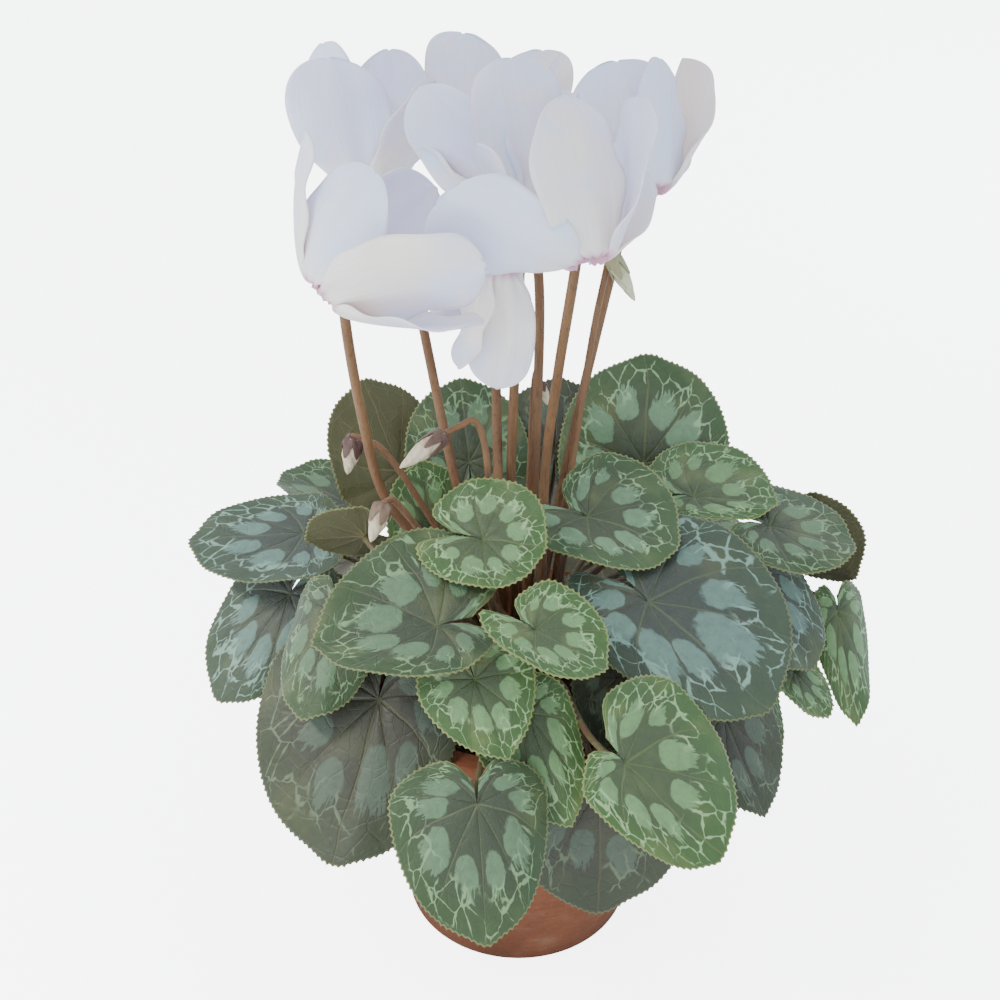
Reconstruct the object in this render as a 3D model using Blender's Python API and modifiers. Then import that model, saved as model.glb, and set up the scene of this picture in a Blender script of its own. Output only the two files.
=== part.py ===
# A white cyclamen in a terracotta pot: leaves, flowers and buds grow from a tuber that sits in the soil.
# Lengths in the tables are millimetres and angles are degrees. +Z is up and -Y is the front.
import math

import bmesh
import bpy
import numpy as np
from mathutils import Quaternion, Vector

MM = 0.001
GAP = 0.3  # clearance between neighbouring pieces

# Pot, a turned clay pot with a thick rim band
POT_FOOT_DIAMETER = 110.0
POT_RIM_DIAMETER = 160.0
POT_HEIGHT = 140.0
POT_WALL = 6.0
POT_BASE = 9.0
POT_BAND_HEIGHT = 24.0
POT_BAND_PROUD = 4.0
DRAIN_DIAMETER = 16.0
EDGE_ROUND = 1.5
TURN_STEPS = 28

# Soil and tuber
SOIL_TOP = 120.0
TUBER_RADIUS = 33.0
TUBER_HALF_HEIGHT = 18.0
TUBER_TOP = 150.0

# Leaves
BLADE_THICKNESS = 1.2
BLADE_COLUMNS = 16
SINUS_HALF_ANGLE = 0.07  # radians, half of the open slit behind the petiole
PETIOLE_DIAMETER = 3.4
PETIOLE_POINTS = 7

# Flowers
STALK_DIAMETER = 4.2
CALYX_DIAMETER = 8.0
PETAL_THICKNESS = 0.8
MOUTH_RADIUS = 6.5
TUBE_RADIUS = 4.2
TUBE_HEIGHT = 8.0
BUD_STALK_DIAMETER = 3.2

# The whole plant is moved so that its spread is centred on the origin
SPREAD_CENTRE = (7.6, 4.8)

# Rings of stem bases on the tuber, by their distance from its centre
RING_RADII = {"flower": 7.5, "top": 13.5, "middle": 20.0, "low": 27.0}
STEM_SPACING = 5.0

# Each leaf: (ring, attachment (x, y, z), size (left, right, tip, left lobe, right lobe), face (azimuth,
# slope, spin), bend (left, right, tip)). Sizes run from the petiole to the margin. The upper side faces the
# azimuth and leans to it by the slope. The tip points down that slope, turned by the spin to the left of it.
# A bend turns a side up, or the tip down.
LEAVES = {
    "leaf_01": ("middle", (-34, -70, 209), (25, 46, 51, 20, 24), (-90, 22, -80), (15, 12, 0)),
    "leaf_02": ("top", (5, -80, 214), (24, 17, 32, 12, 20), (-60, 25, 35), (20, 10, 0)),
    "leaf_03": ("low", (-19, -83, 192), (25, 24, 35, 17, 17), (-85, 55, 20), (-10, -10, 0)),
    "leaf_04": ("low", (2, -81, 173), (19, 26, 50, 14, 19), (-88, 60, 20), (-15, -10, 0)),
    "leaf_05": ("low", (-18, -109, 150), (30, 36, 56, 16, 16), (-88, 55, 3), (-32, -10, 0)),
    "leaf_06": ("low", (40, -109, 171), (42, 22, 56, 21, 12), (-60, 50, 28), (-10, -15, 0)),
    "leaf_07": ("middle", (54, -38, 199), (52, 34, 68, 32, 30), (-90, 25, 45), (0, -6, 14)),
    "leaf_08": ("top", (29, -6, 222), (36, 24, 42, 14, 34), (-85, 26, 65), (5, 10, 5)),
    "leaf_09": ("top", (79, 21, 216), (36, 14, 38, 20, 14), (-100, 15, 90), (5, 0, 0)),
    "leaf_10": ("middle", (60, 60, 212), (42, 42, 54, 30, 22), (-95, 60, 180), (-15, -15, 15)),
    "leaf_11": ("top", (-16, -38, 230), (28, 24, 27, 22, 24), (-105, 30, 90), (15, 15, 0)),
    "leaf_12": ("top", (-40, 10, 205), (20, 20, 32, 12, 12), (-75, 60, 180), (-10, -10, 0)),
    "leaf_13": ("middle", (-100, 24, 195), (34, 24, 54, 18, 16), (-100, 18, -78), (20, 10, 0)),
    "leaf_14": ("low", (-106, 6, 173), (26, 30, 60, 20, 20), (-115, 50, -20), (-30, -10, 0)),
    "leaf_15": ("low", (-80, -42, 195), (24, 26, 46, 14, 14), (-115, 50, 0), (-50, -50, 0)),
    "leaf_16": ("low", (-61, -55, 160), (38, 54, 72, 22, 26), (-105, 50, -5), (-15, -10, 0)),
    "leaf_17": ("low", (32, -88, 141), (42, 38, 60, 14, 10), (-85, 76, 0), (-10, -10, 0)),
    "leaf_18": ("low", (86, -62, 157), (28, 22, 46, 18, 14), (-55, 50, 0), (-10, -10, 0)),
    "leaf_19": ("low", (100, -33, 154), (16, 14, 44, 10, 10), (-60, 58, 0), (-10, -10, 0)),
    "leaf_20": ("middle", (112, 7, 209), (28, 24, 40, 16, 16), (-60, 18, 50), (0, -10, 0)),
    "leaf_21": ("low", (108, 4, 185), (28, 28, 50, 18, 18), (-50, 45, 5), (-10, -10, 0)),
    "leaf_22": ("middle", (131, 44, 177), (16, 38, 36, 12, 12), (75, 75, -70), (0, 0, 20)),
    "leaf_23": ("low", (151, 17, 156), (20, 14, 56, 12, 12), (-70, 60, 0), (-45, -45, 0)),
    "leaf_24": ("low", (126, -14, 144), (14, 14, 26, 10, 10), (-45, 35, 0), (0, 0, 0)),
    "leaf_25": ("middle", (-58, 66, 205), (34, 30, 48, 18, 18), (-55, 50, 180), (0, 0, 0)),
    "leaf_26": ("middle", (-24, 65, 210), (31, 31, 42, 26, 26), (-80, 55, 180), (-10, -10, 10)),
    "leaf_27": ("middle", (18, 77, 210), (30, 28, 38, 26, 26), (-95, 50, 180), (-10, -10, 10)),
    "leaf_28": ("middle", (-86, 77, 180), (26, 26, 40, 14, 14), (-30, 10, 180), (40, 40, 0)),
    "leaf_29": ("top", (-68, -6, 212), (20, 14, 28, 10, 10), (85, 70, 80), (0, 0, 0)),
    "leaf_30": ("low", (42, -48, 166), (22, 22, 34, 12, 12), (-70, 55, 0), (0, 0, 0)),
    "leaf_31": ("middle", (93, 36, 188), (18, 18, 28, 10, 10), (-20, 20, 20), (0, 0, 0)),
    "leaf_32": ("low", (114, 78, 162), (32, 30, 46, 21, 21), (35, 45, 0), (-10, -10, 0)),
    "leaf_33": ("low", (43, 92, 140), (36, 36, 50, 22, 22), (70, 61, 0), (-10, -10, 0)),
    "leaf_34": ("low", (24, 104, 178), (31, 32, 54, 26, 30), (80, 50, 0), (-10, -10, 0)),
    "leaf_35": ("low", (-34, 108, 158), (30, 30, 50, 18, 18), (107, 48, 0), (-10, -10, 0)),
    "leaf_36": ("low", (-84, 82, 143), (34, 32, 50, 24, 20), (130, 48, 0), (-10, -10, 0)),
    "leaf_37": ("low", (-112, 46, 165), (28, 28, 44, 16, 16), (160, 48, 0), (-10, -10, 0)),
}

# Each flower: (knee (x, y, z) that its stalk passes, mouth (x, y, z), lean (angle, azimuth) of its axis,
# five petals (azimuth, flare, length, width, belly, twist)). Azimuths are about the axis from the stalk's
# gap, the flare is measured from the axis, and the belly bulges a petal outwards.
FLOWERS = {
    "flower_1": (
        (-58, -5, 229),
        (-75, -42, 340),
        (57, 27),
        (
            (48, 18, 66, 42, 6, 20),
            (112, 54, 58, 42, 6, 20),
            (172, 20, 46, 36, 6, 20),
            (278, 38, 62, 42, 6, 20),
            (304, 48, 56, 40, 6, 20),
        ),
    ),
    "flower_2": (
        (-29, 14, 229),
        (-65, 59, 348),
        (23, 95),
        (
            (42, 12, 62, 36, 8, 25),
            (100, 22, 66, 42, 8, 25),
            (168, 10, 62, 44, 8, 25),
            (248, 34, 58, 42, 8, 25),
            (325, 36, 50, 40, 8, 25),
        ),
    ),
    "flower_3": (
        (-10, 12, 237),
        (-16, 98, 352),
        (30, 90),
        (
            (72, 32, 52, 40, 8, 25),
            (104, 28, 60, 40, 8, 25),
            (160, 26, 56, 40, 8, 25),
            (250, 20, 52, 42, 8, 25),
            (330, 22, 50, 40, 8, 25),
        ),
    ),
    "flower_4": (
        (-4, 14, 237),
        (-9, -6, 338),
        (10, 0),
        (
            (40, 150, 46, 28, 0, 25),
            (110, 158, 38, 28, 0, 25),
            (190, 168, 42, 28, 0, 25),
            (248, 166, 47, 29, 0, 25),
            (308, 174, 46, 28, 0, 25),
        ),
    ),
    "flower_5": (
        (8, 26, 300),
        (5, 14, 353),
        (25, 110),
        (
            (66, 50, 56, 44, 6, 20),
            (104, 32, 62, 42, 8, 25),
            (168, 12, 58, 44, 8, 25),
            (244, 24, 46, 40, 8, 25),
            (308, 14, 50, 42, 8, 25),
        ),
    ),
    "flower_6": (
        (11, 4, 244),
        (24, -38, 351),
        (37, 117),
        (
            (64, 24, 58, 40, 6, 20),
            (100, 60, 58, 42, 6, 20),
            (172, 22, 58, 46, 8, 25),
            (226, 28, 58, 42, 8, 25),
            (292, 30, 52, 36, 6, 25),
        ),
    ),
    "flower_7": (
        (26, 36, 250),
        (53, 40, 353),
        (36, 100),
        (
            (50, 14, 52, 40, 8, 25),
            (114, 16, 52, 42, 8, 25),
            (160, 22, 50, 40, 8, 25),
            (252, 14, 58, 44, 14, 25),
            (325, 32, 62, 38, 8, 25),
        ),
    ),
}

# Each bud: (knee (x, y, z), bud base (x, y, z), bud tip (x, y, z), bud width)
BUDS = {
    "bud_1": ((-16, -8, 262), (-32, -15, 267), (-50, -28, 258), 8),
    "bud_2": ((-54, -3, 246), (-71, -2, 259), (-75, -1, 240), 8),
    "bud_3": ((-50, -18, 232), (-57, -29, 242), (-63, -34, 226), 8),
    "bud_4": ((6, 36, 262), (9, 32, 268), (12, 26, 260), 5),
    "bud_5": ((29, 20, 285), (36, 16, 334), (47, 14, 314), 7),
}


def clear_scene():
    for obj in list(bpy.data.objects):
        bpy.data.objects.remove(obj)


def clay_material():
    return principled("terracotta", (0.42, 0.19, 0.10), 0.85)


def principled(name, colour, roughness):
    material = bpy.data.materials.new(name)
    material.use_nodes = True
    shader = material.node_tree.nodes["Principled BSDF"]
    shader.inputs["Base Color"].default_value = (*colour, 1.0)
    shader.inputs["Roughness"].default_value = roughness
    shader.inputs["Metallic"].default_value = 0.0
    material.diffuse_color = (*colour, 1.0)
    return material


def place(obj, material):
    """Gives an object its material and hangs it on the root empty, in the plant's collection."""
    obj.data.materials.clear()
    obj.data.materials.append(material)
    for collection in list(obj.users_collection):
        collection.objects.unlink(obj)
    plant.objects.link(obj)
    obj.parent = root
    return obj


def mesh_object(name, vertices, faces):
    """A new mesh object in the plant's collection, from points in millimetres."""
    mesh = bpy.data.meshes.new(name)
    mesh.from_pydata([tuple(MM * c for c in v) for v in vertices], [], faces)
    obj = bpy.data.objects.new(name, mesh)
    plant.objects.link(obj)
    return obj


def evaluated_copy(obj, name):
    """A plain mesh object of what an object's modifiers or bevel make; the first object is removed."""
    graph = bpy.context.evaluated_depsgraph_get()
    mesh = bpy.data.meshes.new_from_object(obj.evaluated_get(graph))
    mesh.name = name
    copy = bpy.data.objects.new(name, mesh)
    copy.matrix_world = obj.matrix_world.copy()
    bpy.data.objects.remove(obj)
    copy.name = name
    plant.objects.link(copy)
    return copy


def turned(name, profile):
    """A profile of (radius, height) points that runs down its outer side, turned about Z."""
    edges = [(i, i + 1) for i in range(len(profile) - 1)]
    if profile[0][0] > 0:
        edges.append((len(profile) - 1, 0))
    mesh = bpy.data.meshes.new(name)
    mesh.from_pydata([(MM * r, 0.0, MM * z) for r, z in profile], edges, [])
    obj = bpy.data.objects.new(name, mesh)
    plant.objects.link(obj)
    screw = obj.modifiers.new("turn", "SCREW")
    screw.steps = screw.render_steps = TURN_STEPS
    screw.use_merge_vertices = True
    screw.merge_threshold = 0.00001
    screw.use_smooth_shade = True
    return obj


def tube(name, points, radii):
    """A round tube along points in millimetres, with its own radius at each point and filled ends."""
    curve = bpy.data.curves.new(name, "CURVE")
    curve.dimensions = "3D"
    curve.bevel_depth = MM
    curve.bevel_resolution = 1
    curve.use_fill_caps = True
    curve.resolution_u = 1
    spline = curve.splines.new("POLY")
    spline.points.add(len(points) - 1)
    for slot, point, radius in zip(spline.points, points, radii):
        slot.co = (MM * point[0], MM * point[1], MM * point[2], 1.0)
        slot.radius = radius
    obj = bpy.data.objects.new(name, curve)
    plant.objects.link(obj)
    return obj


# ---------------------------------------------------------------- pot, soil and tuber


def pot_outside(z):
    """Outer radius of the pot's wall below its band, at a height."""
    foot = POT_FOOT_DIAMETER / 2
    top = POT_RIM_DIAMETER / 2 - POT_BAND_PROUD
    return foot + (top - foot) * z / POT_HEIGHT


def pot_inside(z):
    return pot_outside(z) - POT_WALL


def make_pot():
    rim = POT_RIM_DIAMETER / 2
    hole = DRAIN_DIAMETER / 2
    band = POT_HEIGHT - POT_BAND_HEIGHT
    inner_rim = pot_inside(POT_HEIGHT)
    profile = [
        (inner_rim + EDGE_ROUND, POT_HEIGHT),
        (rim - EDGE_ROUND, POT_HEIGHT),
        (rim, POT_HEIGHT - EDGE_ROUND),
        (rim - 1.5, band),
        (pot_outside(band), band - 2.0),
        (pot_outside(EDGE_ROUND), EDGE_ROUND),
        (POT_FOOT_DIAMETER / 2 - EDGE_ROUND, 0.0),
        (hole, 0.0),
        (hole, POT_BASE),
        (pot_inside(POT_BASE), POT_BASE),
        (inner_rim, POT_HEIGHT - EDGE_ROUND),
    ]
    return place(turned("pot", profile), clay_material())


def make_soil():
    """The soil fills the pot below its rim and has a hollow that the tuber sits in."""
    bottom = POT_BASE + GAP
    tuber_middle = TUBER_TOP - TUBER_HALF_HEIGHT
    across = TUBER_RADIUS + GAP
    down = TUBER_HALF_HEIGHT + GAP
    start = math.asin((tuber_middle - SOIL_TOP) / down)
    angles = [start + (math.pi / 2 - start) * k / 3 for k in range(4)]
    hollow = [(across * math.cos(a), tuber_middle - down * math.sin(a)) for a in angles]
    hollow[-1] = (0.0, tuber_middle - down)
    hollow.reverse()
    wall = [(pot_inside(SOIL_TOP - 2) - GAP, SOIL_TOP - 2), (pot_inside(bottom) - GAP, bottom), (0.0, bottom)]
    return place(turned("soil", hollow + wall), principled("potting_soil", (0.06, 0.04, 0.03), 0.95))


def tuber_top(radius):
    """Height of the tuber's upper side at a distance from its axis."""
    return TUBER_TOP - TUBER_HALF_HEIGHT * (1 - math.sqrt(1 - (radius / TUBER_RADIUS) ** 2))


def make_tuber():
    bpy.ops.mesh.primitive_uv_sphere_add(segments=20, ring_count=10, radius=MM)
    obj = bpy.context.object
    obj.name = "tuber"
    middle = Vector((0, 0, MM * (TUBER_TOP - TUBER_HALF_HEIGHT)))
    for vertex in obj.data.vertices:
        x, y, z = vertex.co
        vertex.co = Vector((x * TUBER_RADIUS, y * TUBER_RADIUS, z * TUBER_HALF_HEIGHT)) + middle
    obj.data.shade_smooth()
    return place(obj, principled("tuber_bark", (0.10, 0.06, 0.04), 0.9))


# ---------------------------------------------------------------- stems


def stem_base(ring, azimuth):
    """Where a stem stands on the tuber: the point and the outward direction there."""
    radius = RING_RADII[ring]
    x, y = radius * math.cos(azimuth), radius * math.sin(azimuth)
    height = tuber_top(radius) - (TUBER_TOP - TUBER_HALF_HEIGHT)
    normal = Vector((x / TUBER_RADIUS**2, y / TUBER_RADIUS**2, height / TUBER_HALF_HEIGHT**2)).normalized()
    return Vector((x, y, tuber_top(radius))) + GAP * normal, normal


def ring_azimuths(stems):
    """The azimuth of each stem's base: the way that it leans, pushed clear of its neighbours in the ring."""
    azimuths = {}
    for ring, radius in RING_RADII.items():
        members = sorted((math.atan2(y, x), name) for name, kind, x, y in stems if kind == ring)
        angles = [angle for angle, _ in members]
        apart = STEM_SPACING / radius
        for _ in range(400):
            for k in range(len(angles)):
                after = (k + 1) % len(angles)
                turn = 2 * math.pi if after <= k else 0.0
                short = apart - (angles[after] + turn - angles[k])
                if short > 0:
                    angles[k] -= short / 2
                    angles[after] += short / 2
        azimuths.update({name: angle for angle, (_, name) in zip(angles, members)})
    return azimuths


def bezier_at(start, first, second, end, s):
    """The point of a cubic curve at s from 0 to 1."""
    r = 1 - s
    return r**3 * start + 3 * s * r**2 * first + 3 * s**2 * r * second + s**3 * end


def bezier_way(start, first, second, end, s):
    """The direction of a cubic curve at s from 0 to 1."""
    r = 1 - s
    way = r**2 * (first - start) + 2 * s * r * (second - first) + s**2 * (end - second)
    return way.normalized()


# ---------------------------------------------------------------- leaves


def leaf_axes(azimuth, slope, spin):
    """The tip's way, the left side's way and the upper side's way of a blade, as unit vectors."""
    turn, tilt, swing = (math.radians(a) for a in (azimuth, slope, spin))
    down = Vector((math.cos(tilt) * math.cos(turn), math.cos(tilt) * math.sin(turn), -math.sin(tilt)))
    level = Vector((-math.sin(turn), math.cos(turn), 0.0))
    ahead = down * math.cos(swing) + level * math.sin(swing)
    up = down.cross(level)
    return ahead, up.cross(ahead), up


def leaf_outline(angle, size):
    """A point of the heart-shaped margin, ahead of and left of the petiole. The angle is 0 at the tip."""
    left, right, tip, left_lobe, right_lobe = size
    lobe = left_lobe if angle > 0 else right_lobe
    away = math.pi - abs(angle)
    if abs(angle) < math.pi / 2:
        ahead = tip * math.cos(angle) * (0.93 + 0.07 * math.exp(-((angle / 0.3) ** 2)))
    else:
        ahead = 1.2 * lobe * math.cos(angle) * (1 - 0.45 * math.exp(-((away / 0.35) ** 2)))
    side = (left if angle > 0 else right) * math.sin(angle)
    return ahead, side


def bent(distance, whole, angle):
    """Where a strip of a given whole length lies once it is bent through an angle: (along, up, turn)."""
    turn = math.radians(angle) * distance / whole
    if abs(turn) < 1e-6:
        return distance, 0.0, 0.0
    radius = distance / turn
    return radius * math.sin(turn), radius * (1 - math.cos(turn)), turn


def leaf_point(angle, reach, place_at, size, turn, bend):
    """A point of the blade: the outline scaled by reach, bent across and then along, and turned into place."""
    ahead, side = leaf_outline(angle, size)
    ahead, side = ahead * reach, side * reach
    half = size[0] if side > 0 else size[1]
    across, lift, _ = bent(abs(side), half, bend[0] if side > 0 else bend[1])
    across = math.copysign(across, side)
    along, drop, tilt = bent(ahead, size[2], -bend[2])
    forward, left, up = leaf_axes(*turn)
    along -= lift * math.sin(tilt)
    height = drop + lift * math.cos(tilt)
    return Vector(place_at) + along * forward + across * left + height * up


def make_blade(name, row):
    _, place_at, size, turn, bend = row
    end = math.pi - SINUS_HALF_ANGLE
    angles = [-end + 2 * end * k / BLADE_COLUMNS for k in range(BLADE_COLUMNS + 1)]
    vertices = [Vector(place_at)]
    for reach in (0.5, 1.0):
        vertices += [leaf_point(a, reach, place_at, size, turn, bend) for a in angles]
    inner, outer = 1, 2 + BLADE_COLUMNS
    faces = [(0, inner + k, inner + k + 1) for k in range(BLADE_COLUMNS)]
    faces += [(inner + k, outer + k, outer + k + 1, inner + k + 1) for k in range(BLADE_COLUMNS)]
    obj = mesh_object(name, vertices, faces)
    solid = obj.modifiers.new("thickness", "SOLIDIFY")
    solid.thickness = MM * BLADE_THICKNESS
    solid.offset = 0.0
    return obj


def petiole_route(row, azimuth):
    """A smooth arch from the tuber to the underside of the blade."""
    ring, place_at, _, turn, _ = row
    start, way_out = stem_base(ring, azimuth)
    forward, _, up = leaf_axes(*turn)
    end = Vector(place_at)
    span = (end - start).length
    arrival = (0.85 * up + 0.5 * forward).normalized()
    foot = start + 2 * way_out
    first, second = foot + 0.4 * span * way_out, end - 0.35 * span * arrival
    steps = [k / (PETIOLE_POINTS - 2) for k in range(PETIOLE_POINTS - 1)]
    return [start] + [bezier_at(foot, first, second, end, s) for s in steps]


def make_leaf(name, row, azimuth, material):
    """A blade with its petiole, grown as one piece."""
    blade = make_blade(name, row)
    route = petiole_route(row, azimuth)
    radii = [PETIOLE_DIAMETER / 2] * (PETIOLE_POINTS - 1) + [PETIOLE_DIAMETER / 3]
    petiole = evaluated_copy(tube("petiole", route, radii), "petiole")
    weld(petiole)
    union = blade.modifiers.new("petiole", "BOOLEAN")
    union.operation = "UNION"
    union.object = petiole
    leaf = evaluated_copy(blade, name)
    bpy.data.objects.remove(petiole)
    return place(leaf, material)


def weld(obj):
    """Joins the loose caps of a mesh made from a curve to its wall."""
    shape = bmesh.new()
    shape.from_mesh(obj.data)
    bmesh.ops.remove_doubles(shape, verts=shape.verts, dist=0.00001)
    bmesh.ops.recalc_face_normals(shape, faces=shape.faces)
    shape.to_mesh(obj.data)
    shape.free()


# ---------------------------------------------------------------- flowers and buds


def flower_axes(lean, toward):
    """The petals' way, the way to the stalk's gap and the third way of a flower, as unit vectors."""
    tilt, azimuth = (math.radians(a) for a in lean)
    axis = Vector((math.sin(tilt) * math.cos(azimuth), math.sin(tilt) * math.sin(azimuth), math.cos(tilt)))
    gap = (toward - axis * toward.dot(axis)).normalized()
    return axis, gap, axis.cross(gap)


PETAL_STATIONS = (0.1, 0.25, 0.42, 0.6, 0.78, 0.92, 1.0)
CLAW_ANGLES = (56, 116, 180, 244, 304)
CLAW_WIDTH = 5.0


def petal_width(share, width):
    """Breadth of a petal beyond the mouth: a narrow claw, widest past its middle and a blunt tip."""
    swell = math.sin(math.pi * min(share, 0.985) ** 1.5) ** 0.75
    return CLAW_WIDTH * (1 - share) + (width - 0.4 * CLAW_WIDTH) * swell


def petal_rows(centre, axis, gap, third, claw, petal):
    """Rows of three points across a petal, from the tube's top through the mouth to the tip."""
    azimuth, flare, length, width, belly, twist = petal
    flare, azimuth = math.radians(flare), math.radians(azimuth)
    ray = gap * math.cos(claw) + third * math.sin(claw)
    away = gap * math.cos(azimuth) + third * math.sin(azimuth)
    level = axis.cross(ray)
    rows = []
    for out, up in ((TUBE_RADIUS, TUBE_HEIGHT), (5.0, 3.5), (MOUTH_RADIUS, -0.5)):
        middle = centre + ray * out + axis * up
        side = level * (CLAW_WIDTH / 2 * out / MOUTH_RADIUS)
        rows.append((middle - side, middle, middle + side))
    start = rows[-1][1]
    end = start + length * (axis * math.cos(flare) + away * math.sin(flare))
    chord = end - start
    outward = (ray - chord * (ray.dot(chord) / chord.dot(chord))).normalized()
    first = start + 7 * (0.9 * ray - 0.5 * axis)
    second = start + 0.62 * chord + belly * outward
    route = [bezier_at(start, first, second, end, s) for s in PETAL_STATIONS]
    ways = [bezier_way(start, first, second, end, s) for s in PETAL_STATIONS]
    for share, middle, way in zip(PETAL_STATIONS, route, ways):
        side = (level - way * level.dot(way)).normalized()
        side.rotate(Quaternion(way, math.radians(twist) * min(1.5 * share, 1.0)))
        half = petal_width(share, width) / 2
        rows.append((middle - side * half, middle, middle + side * half))
    return rows


def make_corolla(name, row, material):
    """Five petals that join in a short tube, made as one sheet with a thickness."""
    knee, mouth, lean, petals = row
    centre = Vector(mouth)
    axis, gap, third = flower_axes(lean, Vector(knee) - centre)
    vertices, faces = [], []
    for angle, petal in zip(CLAW_ANGLES, petals):
        rows = petal_rows(centre, axis, gap, third, math.radians(angle), petal)
        first = len(vertices)
        vertices += [point for points in rows for point in points]
        for k in range(first, first + 3 * len(rows) - 3, 3):
            faces += [(k, k + 1, k + 4, k + 3), (k + 1, k + 2, k + 5, k + 4)]
    # The tube's wall joins each claw to the next above the mouth
    stride = len(vertices) // len(CLAW_ANGLES)
    for k in range(len(CLAW_ANGLES)):
        here, there = k * stride + 2, (k + 1) % len(CLAW_ANGLES) * stride
        faces.append((here, there, there + 3, here + 3))
    obj = mesh_object(name, vertices, faces)
    solid = obj.modifiers.new("thickness", "SOLIDIFY")
    solid.thickness = MM * PETAL_THICKNESS
    solid.offset = 0.0
    return place(obj, material)


def smooth_route(points, count):
    """Points read off a smooth curve (Catmull-Rom) through a few given points."""
    ends = [2 * points[0] - points[1], *points, 2 * points[-1] - points[-2]]
    route = []
    spans = len(points) - 1
    for k in range(count):
        place_on = k / (count - 1) * spans
        i = min(int(place_on), spans - 1)
        s = place_on - i
        a, b, c, d = ends[i : i + 4]
        route.append(0.5 * (2 * b + s * (c - a) + s * s * (2 * a - 5 * b + 4 * c - d) + s**3 * (3 * b - a - 3 * c + d)))
    return route


def make_stalk(name, row, azimuth, material):
    """A flower stalk that rises from the tuber, hooks over above the mouth and ends in its calyx."""
    knee, mouth, lean = row[0], Vector(row[1]), row[2]
    axis, gap, _ = flower_axes(lean, Vector(row[0]) - mouth)
    start, way_out = stem_base("flower", azimuth)
    hook = [(10.5, 4), (9.6, 10.5), (6.6, 15.2), (3.2, 16.6), (0.8, 15), (0.0, 11.5)]
    bends = [mouth + gap * out + axis * up for out, up in hook]
    rise = [start, *smooth_route([start + 2 * way_out, start + 20 * way_out, Vector(knee), bends[0]], 7)]
    calyx = [mouth + axis * (TUBE_HEIGHT + 2.2), mouth + axis * (TUBE_HEIGHT + GAP)]
    route = rise + bends[1:] + calyx
    radii = [STALK_DIAMETER / 2] * len(rise) + [1.9, 1.8, 1.7, 1.7, 1.8] + [CALYX_DIAMETER / 2] * 2
    return place(tube(name, route, radii), material)


def make_bud(name, row, azimuth, material):
    """A bud on its own stalk: the stalk hooks over, widens into the sepals and ends in the furled petals."""
    knee, base, tip, width = Vector(row[0]), Vector(row[1]), Vector(row[2]), row[3]
    start, way_out = stem_base("top", azimuth)
    rise = [start, *smooth_route([start + 2 * way_out, start + 20 * way_out, knee, base], 9)]
    shares = (0.08, 0.25, 0.5, 0.75, 1.0)
    swell = (0.75, 1.0, 0.95, 0.6, 0.12)
    body = [base + (tip - base) * share for share in shares]
    radii = [BUD_STALK_DIAMETER / 2] * len(rise) + [width / 2 * share for share in swell]
    return place(tube(name, rise + body, radii), material)


# ---------------------------------------------------------------- assembly

clear_scene()
plant = bpy.data.collections.new("potted_cyclamen")
bpy.context.scene.collection.children.link(plant)
root = bpy.data.objects.new("plant_root", None)
root.location = (-MM * SPREAD_CENTRE[0], -MM * SPREAD_CENTRE[1], 0.0)
plant.objects.link(root)

leaf_material = principled("leaf", (0.10, 0.20, 0.09), 0.5)
stalk_material = principled("stalk", (0.22, 0.11, 0.06), 0.5)
petal_material = principled("petal", (0.85, 0.83, 0.85), 0.5)

make_pot()
make_soil()
make_tuber()

stems = [(name, row[0], row[1][0], row[1][1]) for name, row in LEAVES.items()]
stems += [(name, "flower", row[0][0], row[0][1]) for name, row in FLOWERS.items()]
stems += [(name, "top", row[0][0], row[0][1]) for name, row in BUDS.items()]
azimuths = ring_azimuths(stems)
for name, row in LEAVES.items():
    make_leaf(name, row, azimuths[name], leaf_material)
for name, row in FLOWERS.items():
    make_corolla(name, row, petal_material)
    make_stalk(name.replace("flower", "stalk"), row, azimuths[name], stalk_material)
for name, row in BUDS.items():
    make_bud(name, row, azimuths[name], stalk_material)
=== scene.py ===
# The look of a white cyclamen in a terracotta pot: toothed, silver-marked leaves, swept-back petals,
# brown stalks and buds, a knobbly tuber, crumbly soil and a turned clay pot.
import math

import bpy
import numpy as np
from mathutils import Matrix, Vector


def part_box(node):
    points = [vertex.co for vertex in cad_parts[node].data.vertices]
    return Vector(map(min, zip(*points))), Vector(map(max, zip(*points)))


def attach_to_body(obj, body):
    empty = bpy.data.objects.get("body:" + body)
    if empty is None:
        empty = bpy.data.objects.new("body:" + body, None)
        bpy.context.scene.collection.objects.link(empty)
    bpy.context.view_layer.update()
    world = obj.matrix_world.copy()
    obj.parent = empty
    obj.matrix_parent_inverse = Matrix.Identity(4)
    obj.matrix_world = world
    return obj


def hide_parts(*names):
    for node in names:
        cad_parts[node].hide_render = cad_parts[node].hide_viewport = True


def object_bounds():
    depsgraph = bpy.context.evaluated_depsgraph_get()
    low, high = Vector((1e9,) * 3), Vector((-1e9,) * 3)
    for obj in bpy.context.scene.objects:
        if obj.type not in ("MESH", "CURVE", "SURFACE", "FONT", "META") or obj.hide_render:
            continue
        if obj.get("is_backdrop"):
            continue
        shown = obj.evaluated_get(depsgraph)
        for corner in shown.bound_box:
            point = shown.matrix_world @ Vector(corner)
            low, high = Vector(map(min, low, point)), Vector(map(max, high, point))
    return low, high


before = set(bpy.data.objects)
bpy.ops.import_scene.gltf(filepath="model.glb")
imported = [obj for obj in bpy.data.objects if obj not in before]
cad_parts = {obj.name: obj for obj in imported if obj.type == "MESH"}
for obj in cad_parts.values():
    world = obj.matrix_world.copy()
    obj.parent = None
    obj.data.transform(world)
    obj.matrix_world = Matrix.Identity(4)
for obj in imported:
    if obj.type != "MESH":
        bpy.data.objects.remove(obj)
cadBox = [list(corner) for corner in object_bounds()]

mm = 0.001
plantShift = np.array([7.6, 4.8, 0.0])  # the plant's own axis, in mm from the middle of its spread


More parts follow.
